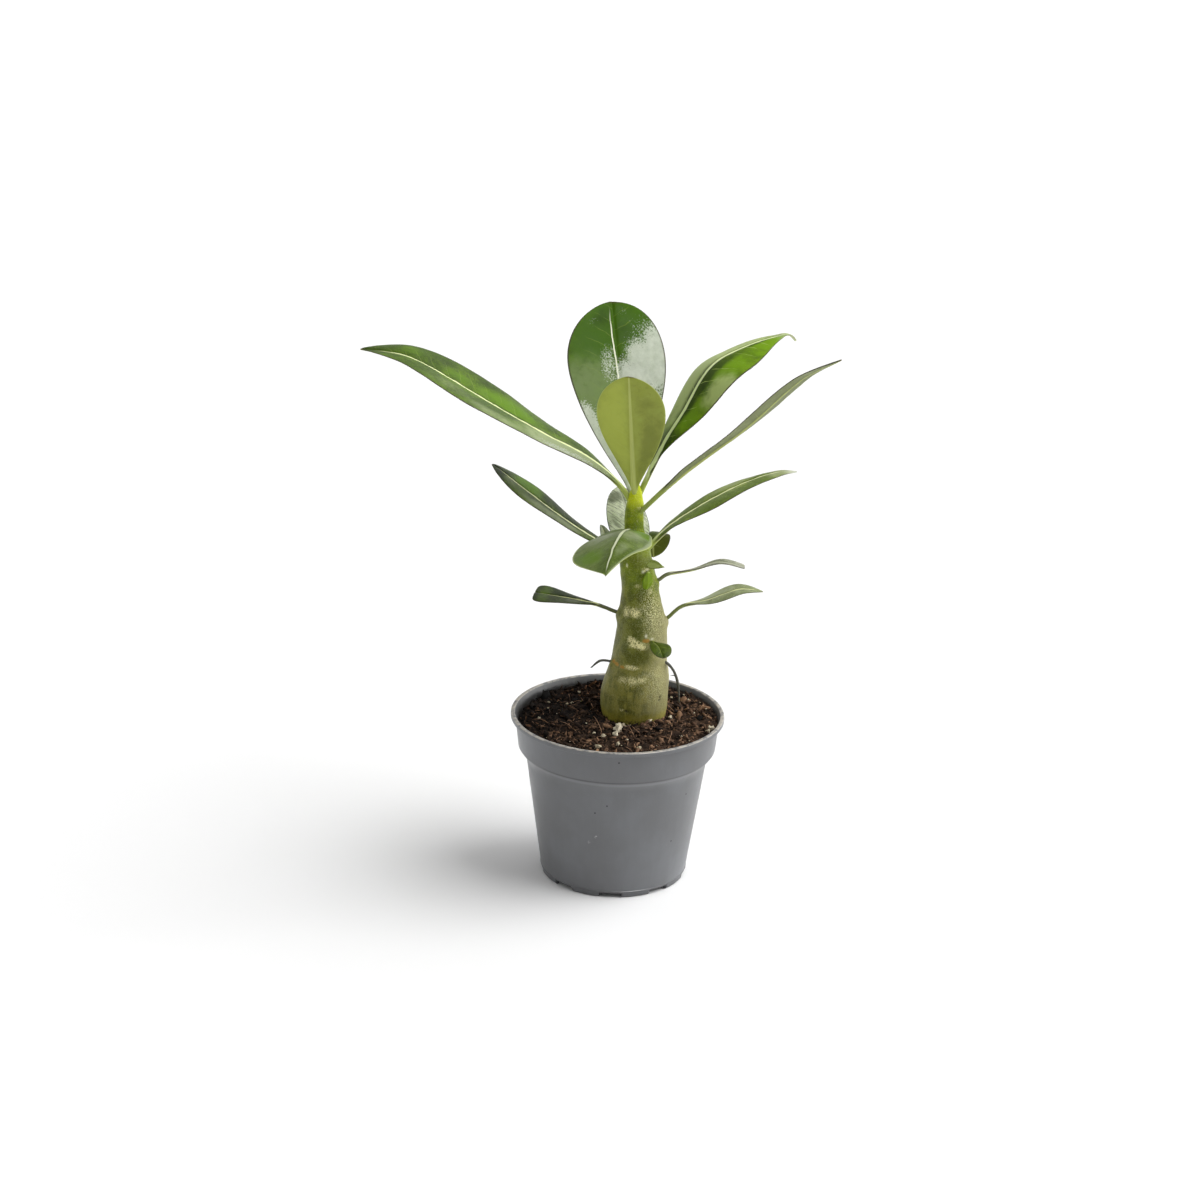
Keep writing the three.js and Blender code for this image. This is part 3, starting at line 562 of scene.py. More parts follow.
# Shader building.
class Look:
    """A procedural material, with short ways of adding nodes and laying colours over each other."""

    def __init__(self, name, world=None):
        self.material = world or bpy.data.materials.new(name)
        self.material.use_nodes = True
        self.tree = self.material.node_tree
        self.shader = self.tree.nodes["Background" if world else "Principled BSDF"]
        self.colour = None

    def add(self, kind, inputs=None, **settings):
        node = self.tree.nodes.new(kind)
        for key, value in settings.items():
            setattr(node, key, value)
        for key, value in (inputs or {}).items():
            self.feed(node.inputs[key], value)
        return node

    def feed(self, socket, value):
        if isinstance(value, bpy.types.NodeSocket):
            self.tree.links.new(value, socket)
        else:
            socket.default_value = value

    def set(self, **sockets):
        for key, value in sockets.items():
            self.feed(self.shader.inputs[key.replace("_", " ")], value)

    def calc(self, operation, *values):
        return self.add("ShaderNodeMath", dict(enumerate(values)), operation=operation).outputs[0]

    def times(self, a, b):
        return self.calc("MULTIPLY", a, b)

    def plus(self, a, b):
        return self.calc("ADD", a, b)

    def less(self, a, b):
        return self.calc("SUBTRACT", a, b)

    def distance(self, a, b):
        return self.calc("ABSOLUTE", self.less(a, b))

    def blend(self, share, a, b):
        """Goes from colour a to colour b; each is a socket, or red, green and blue from 0 to 255."""
        a, b = (srgb(*colour) if isinstance(colour, tuple) else colour for colour in (a, b))
        return self.add("ShaderNodeMix", {0: share, 6: a, 7: b}, data_type="RGBA").outputs[2]

    def paint(self, colour, share, strength=1):
        """Lays a colour over what is there."""
        if strength != 1:
            share = self.times(share, strength)
        self.colour = self.blend(share, self.colour, colour)

    def coat(self, roughness, sheen):
        self.set(Base_Color=self.colour, Roughness=roughness, Specular_IOR_Level=sheen)

    def value(self, name):
        return self.add("ShaderNodeAttribute", attribute_name=name).outputs["Fac"]

    def place(self):
        return self.add("ShaderNodeTexCoord").outputs["Object"]

    def split(self):
        return self.add("ShaderNodeSeparateXYZ", {0: self.place()}).outputs

    def clouds(self, size, detail, vector=None, rough=0.55):
        node = self.add("ShaderNodeTexNoise", {
            "Vector": vector or self.place(), "Scale": 1 / (size * MM), "Detail": detail, "Roughness": rough})
        return node.outputs["Fac"]

    def uneven(self, size, detail, depth, rough=0.55):
        """Clouds about zero, times a depth."""
        return self.times(self.less(self.clouds(size, detail, rough=rough), 0.5), depth)

    def rise(self, value, low, high):
        node = self.add("ShaderNodeMapRange", {0: value, 1: low, 2: high}, interpolation_type="SMOOTHSTEP")
        return node.outputs[0]

    def stretch(self, x, y, z):
        node = self.add("ShaderNodeVectorMath", {0: self.place(), 1: (x, y, z)}, operation="MULTIPLY")
        return node.outputs[0]

    def bump(self, height, depth, strength):
        node = self.add("ShaderNodeBump", {"Height": height, "Distance": depth * MM, "Strength": strength})
        self.feed(self.shader.inputs["Normal"], node.outputs[0])


# Pot.
POT_OUTLINE = [
    (0, FOOT_RADIUS), (BODY_TOP, BODY_TOP_RADIUS), (COLLAR_BOTTOM, COLLAR_BOTTOM_RADIUS),
    (POT_HEIGHT - LIP_DEPTH, COLLAR_TOP_RADIUS),
]


def pot_radius(height):
    heights, radii = zip(*POT_OUTLINE)
    return float(np.interp(height, heights, radii))


def is_in_pot(point):
    return math.hypot(point.x, point.y) < pot_radius(point.z) and 0 < point.z < POT_HEIGHT


def rounded(corners):
    """A profile through (radius, height, rounding) corners, each rounded by a short curve."""
    line = []
    for k, (r, z, rounding) in enumerate(corners):
        here = Vector((r, z))
        if rounding == 0 or k in (0, len(corners) - 1):
            line.append(here)
            continue
        to_last = Vector(corners[k - 1][:2]) - here
        to_next = Vector(corners[k + 1][:2]) - here
        start = here + to_last.normalized() * min(rounding, to_last.length * 0.45)
        end = here + to_next.normalized() * min(rounding, to_next.length * 0.45)
        for share in (0, 0.25, 0.5, 0.75, 1):
            line.append((1 - share) ** 2 * start + 2 * share * (1 - share) * here + share ** 2 * end)
    return line


def pot_material():
    look = Look("pot_plastic")
    patches = look.clouds(28, 3)
    look.colour = look.blend(look.rise(patches, 0.35, 0.7), (103, 104, 106), (111, 113, 116))
    streaks = look.clouds(3, 3, look.stretch(1, 1, 0.08))
    look.paint((94, 95, 97), look.rise(streaks, 0.4, 0.65), 0.1)
    look.paint((170, 168, 160), look.rise(look.clouds(0.9, 4), 0.62, 0.8), 0.12)
    height = look.split()[2]
    # Painted shade: a dark line just under the collar's lower edge.
    crease_shade = look.distance(height, (COLLAR_BOTTOM - 0.5) * MM)
    look.paint((50, 50, 52), look.rise(crease_shade, 0.7 * MM, 0.2 * MM), 0.6)
    # Painted light: a paler band on the shoulder just below the collar.
    lit = look.distance(height, (COLLAR_BOTTOM - 2.2) * MM)
    look.paint((176, 178, 182), look.rise(lit, 1.4 * MM, 0.3 * MM), 0.16)
    look.paint((70, 70, 72), look.rise(height, (FOOT_BAND + 0.6) * MM, (FOOT_BAND - 0.2) * MM), 0.45)
    # Painted highlight: a pale, broken line along the lip's crest, where the rounded edge catches the light.
    lip_highlight = look.rise(height, (POT_HEIGHT - 0.5) * MM, (POT_HEIGHT - 0.1) * MM)
    lip_highlight = look.times(lip_highlight, look.rise(look.clouds(2.5, 4), 0.3, 0.6))
    look.paint((196, 188, 176), lip_highlight, 0.75)
    inside = look.value("inside")
    # Painted shade: the inner wall is darker below the rim.
    wall = look.times(inside, look.rise(height, (POT_HEIGHT - 0.1) * MM, (POT_HEIGHT - 0.9) * MM))
    look.paint((48, 47, 44), wall, 0.3)
    damp = look.times(inside, look.rise(height, POT_HEIGHT * MM, (POT_HEIGHT - 6) * MM))
    look.paint((30, 27, 23), look.times(damp, look.rise(look.clouds(3, 4), 0.25, 0.5)))
    for pixel in POT_SPECKS + POT_SCUFFS:
        spot = first_hit(pixel, is_in_pot)
        away = look.add("ShaderNodeVectorMath", {0: look.place(), 1: spot * MM}, operation="DISTANCE")
        is_scuff = pixel in POT_SCUFFS
        size = (SCUFF_SIZE if is_scuff else SPECK_SIZE) * MM
        share = look.rise(away.outputs["Value"], size, size * 0.6)
        if is_scuff:
            share = look.times(share, look.rise(look.clouds(0.6, 2), 0.45, 0.65))
        look.paint((176, 176, 172) if is_scuff else (28, 26, 24), share)
    shine = look.plus(0.3, look.times(look.clouds(5, 3), 0.14))
    look.coat(shine, 0.45)
    look.bump(look.plus(look.clouds(0.35, 2), look.times(patches, 0.8)), 0.035, 0.5)
    return look.material


def cut_drains(shell):
    """Cuts the ring of drain holes through the floor of the pot, with crisp edges there."""
    shape = bmesh.new()
    radius = DRAIN_RADIUS * MM
    for n in range(DRAIN_COUNT):
        turn = 2 * math.pi * n / DRAIN_COUNT
        place = Vector((DRAIN_CIRCLE * math.cos(turn), DRAIN_CIRCLE * math.sin(turn), FLOOR_TOP)) * MM
        bmesh.ops.create_cone(
            shape, cap_ends=True, segments=DRAIN_SIDES, radius1=radius, radius2=radius,
            depth=3 * FLOOR_TOP * MM, matrix=Matrix.Translation(place))
    mesh = bpy.data.meshes.new("drains")
    shape.to_mesh(mesh)
    shape.free()
    drains = add_object("drains", mesh)
    cut = shell.modifiers.new("drains", "BOOLEAN")
    cut.operation = "DIFFERENCE"
    cut.solver = "EXACT"
    cut.object = drains
    whole = shell.data
    done = shell.evaluated_get(bpy.context.evaluated_depsgraph_get())
    shell.data = bpy.data.meshes.new_from_object(done)
    shell.modifiers.clear()
    bpy.data.objects.remove(drains)
    bpy.data.meshes.remove(mesh)
    bpy.data.meshes.remove(whole)
    shape = bmesh.new()
    shape.from_mesh(shell.data)
    for edge in shape.edges:
        is_low = max(v.co.z for v in edge.verts) < (FLOOR_TOP + 0.05) * MM
        if is_low and edge.calc_face_angle(0) > math.radians(CRISP_ANGLE):
            edge.smooth = False
    shape.to_mesh(shell.data)
    shape.free()


def make_pot():
    foot_inner = FOOT_RADIUS - FOOT_WIDTH
    lip_bottom = POT_HEIGHT - LIP_DEPTH
    band = FOOT_RADIUS + (BODY_TOP_RADIUS - FOOT_RADIUS) * FOOT_BAND / BODY_TOP
    profile = rounded([
        (0, 0, 0), (CENTRE_FOOT_RADIUS, 0, 0.3), (CENTRE_FOOT_RADIUS + FOOT_BEVEL, FLOOR_UNDERSIDE, 0.4),
        (foot_inner - FOOT_BEVEL, FLOOR_UNDERSIDE, 0.4), (foot_inner, 0, 0.25),
        (FOOT_RADIUS - 0.4, 0, 0.3), (FOOT_RADIUS + 0.3, FOOT_BEVEL, 0.3), (band + 0.1, FOOT_BAND, 0.15),
        (band - 0.1, FOOT_BAND + 0.25, 0.15), (BODY_TOP_RADIUS, BODY_TOP, 2.4),
        (COLLAR_BOTTOM_RADIUS, COLLAR_BOTTOM, 0.3), (COLLAR_TOP_RADIUS, lip_bottom, 0.3),
        (LIP_RADIUS, lip_bottom, 0.4), (LIP_RADIUS, POT_HEIGHT, 0.6), (LIP_INNER, POT_HEIGHT, 0.4),
        (COLLAR_TOP_RADIUS - WALL, lip_bottom - 0.6, 0.8), (COLLAR_BOTTOM_RADIUS - WALL, COLLAR_BOTTOM, 1.2),
        (BODY_TOP_RADIUS - WALL, BODY_TOP, 1.2), (pot_radius(FLOOR_TOP) - WALL, FLOOR_TOP, 0.8),
        (0, FLOOR_TOP, 0),
    ])
    top_at = max(range(len(profile)), key=lambda i: (profile[i][1], -profile[i][0]))
    turns = set(round(360 * k / POT_COLUMNS, 4) for k in range(POT_COLUMNS))
    half_notch = math.degrees(NOTCH_WIDTH / 2 / FOOT_RADIUS)
    notches = [(NOTCH_START + 360 * n / NOTCH_COUNT) % 360 for n in range(NOTCH_COUNT)]
    for middle in notches:
        for side in (-half_notch, half_notch):
            for nudge in (-NOTCH_SLANT, NOTCH_SLANT):
                turns.add(round((middle + side + nudge) % 360, 4))
    turns = sorted(turns)
    inner = profile[1:-1]
    points, inside = [], []
    for turn in turns:
        is_cut = any(abs((turn - middle + 180) % 360 - 180) < half_notch for middle in notches)
        for k, (r, z) in enumerate(inner):
            in_foot = r > foot_inner - FOOT_BEVEL and z < NOTCH_HEIGHT
            height = NOTCH_HEIGHT if is_cut and in_foot and k < top_at else z
            angle = math.radians(turn)
            points.append((r * math.cos(angle), r * math.sin(angle), height))
            inside.append(1.0 if k + 1 >= top_at else 0.0)
    ring = len(inner)
    columns = len(turns)
    bottom, top = len(points), len(points) + 1
    points += [(0, 0, 0), (0, 0, FLOOR_TOP)]
    inside += [0.0, 1.0]
    faces = []
    for j in range(columns):
        n = (j + 1) % columns
        faces.append((bottom, n * ring, j * ring))
        faces.append((top, j * ring + ring - 1, n * ring + ring - 1))
        for k in range(ring - 1):
            faces.append((j * ring + k, n * ring + k, n * ring + k + 1, j * ring + k + 1))
    shell = make_piece("pot_shell", points, faces, pot_material(), "pot_plastic", ["pot"], {"inside": inside})
    cut_drains(shell)


# Soil.
def soil_level(x, y):
    dip = SOIL_DIP * limit(-x / COLLAR_TOP_RADIUS) ** SOIL_DIP_BEND
    lumps = np.sin(x / 5.3 + 1.2) * np.sin(y / 4.7 + 0.5) + 0.6 * np.sin((x - y) / 3.1)
    return SOIL_LEVEL - dip - SOIL_FALL * y + SOIL_LUMP * lumps


def on_soil(x, y, lift):
    return Vector((x, y, float(soil_level(x, y)) + lift))


def soil_point(pixel, lift):
    """Where a pixel's line of sight comes down to a height above the soil."""
    def is_low(p):
        return math.hypot(p.x, p.y) < COLLAR_TOP_RADIUS and p.z < soil_level(p.x, p.y) + lift

    return first_hit(pixel, is_low)


def scatter(rng, reach):
    """A random place on the soil, evenly spread out to a radius."""
    out = reach * math.sqrt(rng.random())
    turn = rng.uniform(0, 2 * math.pi)
    return out * math.cos(turn), out * math.sin(turn)


def point_tints(parts, tints):
    """The tint of each part, once for each of its points."""
    return np.repeat(tints, [len(points) for points, _ in parts])


def soil_material(name):
    """Peat that is paler towards the right and the front."""
    look = Look(name)
    tint = look.value("tint")
    x, y, _ = look.split()
    right_front = look.plus(look.times(x, 6), look.times(y, -7))
    right_front = look.rise(look.plus(right_front, look.uneven(8, 3, 1.6)), -0.35, 0.35)
    dark = look.blend(right_front, (14, 8, 5), (54, 40, 30))
    look.colour = look.blend(look.rise(tint, 0.0, 0.6), dark, look.blend(right_front, (46, 32, 23), (118, 90, 70)))
    look.paint(look.blend(right_front, (108, 76, 52), (176, 138, 108)), look.rise(tint, 0.55, 1.0))
    look.paint((20, 14, 10), look.clouds(1.1, 5), 0.45)
    look.paint((84, 54, 36), look.rise(look.clouds(3.5, 3), 0.55, 0.72), 0.3)
    look.paint((160, 128, 100), look.rise(look.clouds(0.6, 4), 0.62, 0.74), 0.4)
    look.coat(0.95, 0.1)
    look.bump(look.clouds(0.45, 5, rough=0.7), 0.35, 1.0)
    return look.material


def spin(rng, axis, most):
    """A random turn about an axis, either way."""
    return Matrix.Rotation(rng.uniform(-most, most), 3, axis)


def any_turn(rng):
    return Matrix.Rotation(rng.uniform(0, 6.28), 3, "Z")


def lump(centre, size, turn, squash, rng, detail, roughness, waviness):
    """An irregular lump as (points, faces)."""
    shape = bmesh.new()
    bmesh.ops.create_icosphere(shape, subdivisions=detail, radius=1)
    shift = Vector((rng.uniform(0, 99), rng.uniform(0, 99), rng.uniform(0, 99)))
    squash = Matrix.Diagonal(squash)
    points = []
    for vertex in shape.verts:
        swell = 1 + roughness * noise.noise(vertex.co * waviness + shift)
        points.append(tuple(turn @ (squash @ (vertex.co * swell)) * size + centre))
    faces = [tuple(v.index for v in face.verts) for face in shape.faces]
    shape.free()
    return points, faces


def blob(centre, size, flatness, rng, detail=1, roughness=0.28):
    """A crumb or stone that lies nearly level."""
    turn = any_turn(rng) @ spin(rng, "X", 0.5)
    squash = (1, rng.uniform(0.55, 0.95), flatness)
    return lump(centre, size, turn, squash, rng, detail, 2 * roughness, 1.7)


def flake(centre, size, rng):
    """A longer chip that lies at any slant."""
    turn = any_turn(rng) @ spin(rng, "Y", 0.9) @ spin(rng, "X", 1.2)
    squash = (FLAKE_LENGTH, rng.uniform(0.26, 0.66), rng.uniform(0.16, 0.4))
    return lump(centre, size, turn, squash, rng, 1, 0.9, 1.5)


def tube(path, radii, sides):
    """A round tube along a path, as (points, faces)."""
    path = [Vector(p) for p in path]
    points = []
    for k, point in enumerate(path):
        ahead = (path[min(k + 1, len(path) - 1)] - path[max(k - 1, 0)]).normalized()
        level = ahead.cross(Vector((0, 0, 1)))
        level = level.normalized() if level.length > 1e-4 else Vector((1, 0, 0))
        upright = level.cross(ahead)
        for j in range(sides):
            turn = 2 * math.pi * j / sides
            aside = math.cos(turn) * level + math.sin(turn) * upright
            points.append(tuple(point + aside * float(radii[k])))
    return points, loft_faces(len(path), sides)


def soil_body(rim):
    """The peat's closed surface as (points, faces), uneven on top."""
    turns = np.linspace(0, 2 * np.pi, SOIL_COLUMNS, endpoint=False)
    rings = []
    for z in (FLOOR_TOP + GAP, BODY_TOP, COLLAR_BOTTOM):
        r = pot_radius(z) - WALL - 0.05
        rings.append(np.stack([r * np.cos(turns), r * np.sin(turns), np.full(SOIL_COLUMNS, z)], 1))
    for k in range(SOIL_RINGS):
        r = rim * (1 - k / SOIL_RINGS)
        x, y = r * np.cos(turns), r * np.sin(turns)
        ring = np.stack([x, y, soil_level(x, y)], 1)
        ring[:, 2] += 1.1 * grain(ring, 4, 3) + 0.8 * grain(ring, 1.9, 4) + 0.4 * grain(ring, 0.9, 5) - 0.4
        rings.append(ring)
    return np.concatenate(rings), loft_faces(len(rings), SOIL_COLUMNS)


def make_soil():
    rng = random.Random(7)
    rim = pot_radius(SOIL_LEVEL) - WALL - 0.02
    body = soil_body(rim)
    crumbs, tints = [], []
    for _ in range(CRUMB_COUNT):
        size = CRUMB_SIZE + CRUMB_SPREAD * rng.random() ** 2
        x, y = scatter(rng, rim - 0.5 * size)
        centre = on_soil(x, y, rng.uniform(-0.15, 0.5) * size)
        crumbs.append(blob(centre, size, rng.uniform(0.45, 0.8), rng, 1, 0.4))
        tints.append(rng.random() ** 2.2)
    body_tint = limit(0.12 + 0.3 * grain(body[0], 3, 6))
    values = {"tint": np.concatenate([body_tint, point_tints(crumbs, tints)])}
    make_piece("soil_peat", *join_parts([body, *crumbs]), soil_material("soil"), "soil", ["soil"], values)

    flakes, tints = [], []
    for _ in range(FLAKE_COUNT):
        size = FLAKE_SIZE + FLAKE_SPREAD * rng.random() ** 3
        x, y = scatter(rng, rim - FLAKE_LENGTH * size)
        flakes.append(flake(on_soil(x, y, rng.uniform(0.0, 0.55) * size), size, rng))
        tints.append(rng.random() ** 1.7)
    values = {"tint": point_tints(flakes, tints)}
    make_piece("soil_flakes", *join_parts(flakes), soil_material("soil_flakes"), "soil", values=values)


def make_grit(rng, rim):
    stones, tints = [], []
    for pixel, size in GRIT:
        stones.append(blob(soil_point(pixel, 0.5 + 0.22 * size), 0.56 * size, 0.75, rng, 2, 0.55))
        tints.append(rng.uniform(0.35, 1))
    for _ in range(FINE_GRIT_COUNT):
        size = FINE_GRIT_SIZE + FINE_GRIT_SPREAD * rng.random()
        x, y = scatter(rng, rim)
        stones.append(blob(on_soil(x, y, 0.75), size, 0.8, rng))
        tints.append(rng.uniform(0.2, 0.9))
    look = Look("grit")
    look.colour = look.blend(look.value("tint"), (156, 138, 102), (224, 214, 188))
    look.paint((96, 74, 52), look.rise(look.clouds(0.7, 4), 0.5, 0.68), 0.7)
    look.coat(0.8, 0.2)
    look.bump(look.clouds(0.3, 4), 0.15, 0.8)
    values = {"tint": point_tints(stones, tints)}
    make_piece("soil_grit", *join_parts(stones), look.material, "soil", values=values)


def fibre(start, end, radius, rng):
    middle = (start + end) / 2
    middle += Vector((rng.uniform(-0.8, 0.8), rng.uniform(-0.8, 0.8), rng.uniform(0.2, 0.9)))
    shares = [k / 8 for k in range(9)]
    lift = Vector((0, 0, 0.35))
    path = [(1 - s) ** 2 * start + 2 * s * (1 - s) * middle + s * s * end + lift for s in shares]
    return tube(path, [radius * (1 - 0.6 * abs(2 * s - 1) ** 3) for s in shares], 5)


def make_fibres(rng, rim):
    threads = []
    for start, end, radius in FIBRES:
        threads.append(fibre(soil_point(start, FIBRE_LIFT), soil_point(end, FIBRE_LIFT), radius, rng))
    for _ in range(FIBRE_COUNT):
        out = (rim - 2) * math.sqrt(rng.random())
        turn, lie = rng.uniform(0, 6.28), rng.uniform(0, 6.28)
        start = Vector((out * math.cos(turn), out * math.sin(turn), 0))
        end = start + Vector((math.cos(lie), math.sin(lie), 0)) * rng.uniform(1.5, 6)
        if math.hypot(end.x, end.y) < rim - 1:
            start, end = (on_soil(p.x, p.y, rng.uniform(0.3, 0.9)) for p in (start, end))
            threads.append(fibre(start, end, rng.uniform(0.07, 0.15), rng))
    look = Look("fibre")
    look.colour = look.blend(look.clouds(3, 2), (84, 54, 38), (190, 150, 118))
    look.coat(0.85, 0.2)
    make_piece("soil_fibres", *join_parts(threads), look.material, "soil")


def make_scraps(rng):
    scraps = []
    for pixel, size, tall in SCRAPS:
        scraps.append(blob(soil_point(pixel, 0.5 + 0.4 * tall), 0.75 * size, tall, rng, 2, 0.45))
    look = Look("scrap")
    look.colour = look.blend(look.clouds(1.5, 3), (4, 4, 3), (16, 12, 10))
    look.coat(0.8, 0.1)
    look.bump(look.clouds(0.6, 3), 0.3, 0.8)
    make_piece("soil_scraps", *join_parts(scraps), look.material, "soil")


# Stem.
def swelling(heading, height, core, place, level, wide, tall):
    """A soft spot on the stem, 1 at its middle, from its heading and height and its half sizes."""
    turn = np.arctan2(np.sin(heading - np.radians(place)), np.cos(heading - np.radians(place)))
    return np.exp(-((turn * core / wide) ** 2) - ((height - level) / tall) ** 2)


def stem_radius(height, heading):
    """The CAD model's stem radius."""
    core = along(STEM_RADII, height)
    uneven = np.sin(3 * heading + height / 9) + 0.6 * np.sin(5 * heading - height / 6)
    seated = 0
    for leaf in LEAVES + DRIED_STALKS:
        place, level = leaf["heading"], leaf["spine"][1][1] - SEAT_DROP
        if level < SEAT_TOP - SEAT_DROP:
            spot = SEAT_SWELL * swelling(heading, height, core, place, level, SEAT_SPREAD, SEAT_SPREAD)
            seated = np.maximum(seated, spot)
    scarred = 0
    for place, level in SCARS:
        spot = SCAR_SWELL * swelling(heading, height, core, place, level, SCAR_SPREAD, SCAR_SPREAD)
        scarred = np.maximum(scarred, spot)
    return core * (1 + STEM_LUMP * uneven) + seated + scarred


def stem_centre(height):
    return along(STEM_AXIS, height)


def is_in_stem(point):
    if not STEM_RADII[0][0] < point.z < STEM_RADII[-1][0]:
        return False
    x, y = point.x - float(stem_centre(point.z)), point.y - STEM_Y
    return math.hypot(x, y) < float(stem_radius(np.array(point.z), np.array(math.atan2(y, x))))


def painted(marks, heading, height, core):
    """How strongly marks colour the stem, each placed where its pixel of the photograph meets it."""
    total = np.zeros_like(core)
    for pixel, wide, tall, strength in marks:
        spot = first_hit(pixel, is_in_stem)
        place = math.degrees(math.atan2(spot.y - STEM_Y, spot.x - float(stem_centre(spot.z))))
        total = np.maximum(total, strength * swelling(heading, height, core, place, spot.z, wide, tall))
    return total


def stem_material():
    look = Look("stem_skin")
    height = look.split()[2]
    streaks = look.clouds(1.5, 4, look.stretch(1, 1, 0.16))
    mottles = look.clouds(5, 5, rough=0.6)
    fine = look.clouds(0.8, 4)
    look.colour = look.blend(look.rise(mottles, 0.42, 0.58), (88, 88, 18), (122, 119, 46))
    look.paint((152, 146, 70), look.rise(streaks, 0.42, 0.66), 0.55)
    for start, end, spread, dark, light in STEM_ZONES:
        skin = look.blend(look.rise(mottles, *spread), dark, light)
        look.paint(skin, look.rise(height, start * MM, end * MM))
    look.paint((186, 198, 0), look.rise(height, 186 * MM, 193 * MM))
    look.paint((160, 154, 110), look.value("grey"), 0.7)
    look.paint((122, 120, 74), look.value("edge"), 0.32)
    look.paint((78, 82, 0), look.value("olive"))
    # Pale grains, partly a painted sheen where the stem's right side catches the light.
    grains_and_sheen = look.times(look.value("grains_and_sheen"), look.rise(look.clouds(0.5, 3), 0.5, 0.58))
    look.paint((222, 220, 164), grains_and_sheen, 0.95)
    look.paint((182, 180, 124), look.rise(look.clouds(1.3, 3), 0.6, 0.72), 0.22)
    look.paint((56, 52, 16), look.rise(look.clouds(0.9, 3), 0.38, 0.26), 0.5)
    # Pale scars and patches, one of them a painted glint by the bud.
    torn = look.plus(look.times(look.clouds(0.8, 4, rough=0.75), 4.2), -1.4)
    look.paint((240, 232, 172), look.rise(look.times(look.value("pale"), torn), 0.1, 0.75), 0.9)
    rust = look.times(look.value("rust"), look.plus(fine, 0.5))
    look.paint((168, 128, 54), look.rise(rust, 0.35, 0.7))
    look.paint((250, 248, 224), look.value("glint"))
    look.paint((16, 14, 8), look.value("pit"))
    moist = look.plus(height, look.uneven(3, 3, 6 * MM))
    look.paint((158, 148, 48), look.rise(moist, 88.5 * MM, 83 * MM), 0.55)
    soiled = look.times(look.rise(moist, 83.5 * MM, 81.2 * MM), look.rise(look.clouds(1.2, 3), 0.42, 0.55))
    look.paint((46, 32, 18), soiled)
    shine = look.plus(0.32, look.times(fine, 0.25))
    look.coat(shine, 0.12)
    relief = look.plus(look.times(fine, 0.7), look.times(grains_and_sheen, 0.7))
    look.bump(look.plus(relief, look.times(streaks, 0.8)), 0.32, 0.85)
    return look.material


def make_stem():
    low, high = STEM_RADII[0][0], STEM_RADII[-1][0]
    height = np.repeat(np.linspace(low, high, STEM_RINGS)[:, None], STEM_SIDES, 1)
    heading = np.repeat(np.linspace(0, 2 * np.pi, STEM_SIDES, endpoint=False)[None], STEM_RINGS, 0)
    core = along(STEM_RADII, height)
    values = {key: painted(marks, heading, height, core) for key, marks in STEM_MARKS.items()}
    for place, level in SCARS:
        if not 190 < place < 300:
            scar = 0.7 * swelling(heading, height, core, place, level, 2.6, 1.2)
            values["pale"] = np.maximum(values["pale"], scar)
    values["grains_and_sheen"] = np.maximum(values["grains_and_sheen"], 0.1)
    values["edge"] = ease((np.cos(heading - math.radians(190)) - 0.55) / 0.4) * ease((165 - height) / 20)
    values["grey"] = ease((np.cos(heading - math.radians(345)) - 0.1) / 0.9) * ease((150 - height) / 20)
    radius = stem_radius(height, heading)
    around = np.stack([radius * np.cos(heading), radius * np.sin(heading), height], -1)
    radius = radius + 0.16 * grain(around, 5, 11) + 0.08 * grain(around, 2, 12)
    rough = 0.22 * values["pale"] + 0.12 * values["grains_and_sheen"]
    radius += rough * grain(around, 1.1, 13) - 0.5 * values["pit"]
    radius = np.maximum(radius, 0.3)
    x = stem_centre(height) + radius * np.cos(heading)
    points = np.stack([x, STEM_Y + radius * np.sin(heading), height], -1).reshape(-1, 3)
    faces = loft_faces(STEM_RINGS, STEM_SIDES)
    make_piece("stem_body", points, faces, stem_material(), "stem_skin", ["stem"], values)


# Leaves.
def midrib(leaf):
    """Many points along a leaf's midrib, and the length up to each."""
    turn = math.radians(leaf["heading"])
    start = float(stem_centre(leaf["spine"][0][1]))
    reach = leaf["spine"][-1][0]
    knots = []
    for out, height in leaf["spine"]:
        aside = leaf.get("sway", 0) * (out / reach) ** 2
        x = start + out * math.cos(turn) - aside * math.sin(turn)
        knots.append((x, STEM_Y + out * math.sin(turn) + aside * math.cos(turn), height))
    knots = np.array(knots)
    knots = np.vstack([2 * knots[0] - knots[1], knots, 2 * knots[-1] - knots[-2]])
    line = []
    for k in range(1, len(knots) - 2):
        p0, p1, p2, p3 = knots[k - 1:k + 3]
        d0, d1, d2 = (math.sqrt(np.linalg.norm(b - a)) for a, b in ((p0, p1), (p1, p2), (p2, p3)))
        t1 = ((p1 - p0) / d0 - (p2 - p0) / (d0 + d1) + (p2 - p1) / d1) * d1
        t2 = ((p2 - p1) / d1 - (p3 - p1) / (d1 + d2) + (p3 - p2) / d2) * d1
        u = np.linspace(0, 1, MIDRIB_STEPS, endpoint=k == len(knots) - 3)[:, None]
        square, cube = 3 * (p2 - p1) - 2 * t1 - t2, 2 * (p1 - p2) + t1 + t2
        line.append(p1 + u * t1 + u ** 2 * square + u ** 3 * cube)
    line = np.concatenate(line)
    steps = np.linalg.norm(np.diff(line, axis=0), axis=1)
    return line, np.concatenate([[0], np.cumsum(steps)])


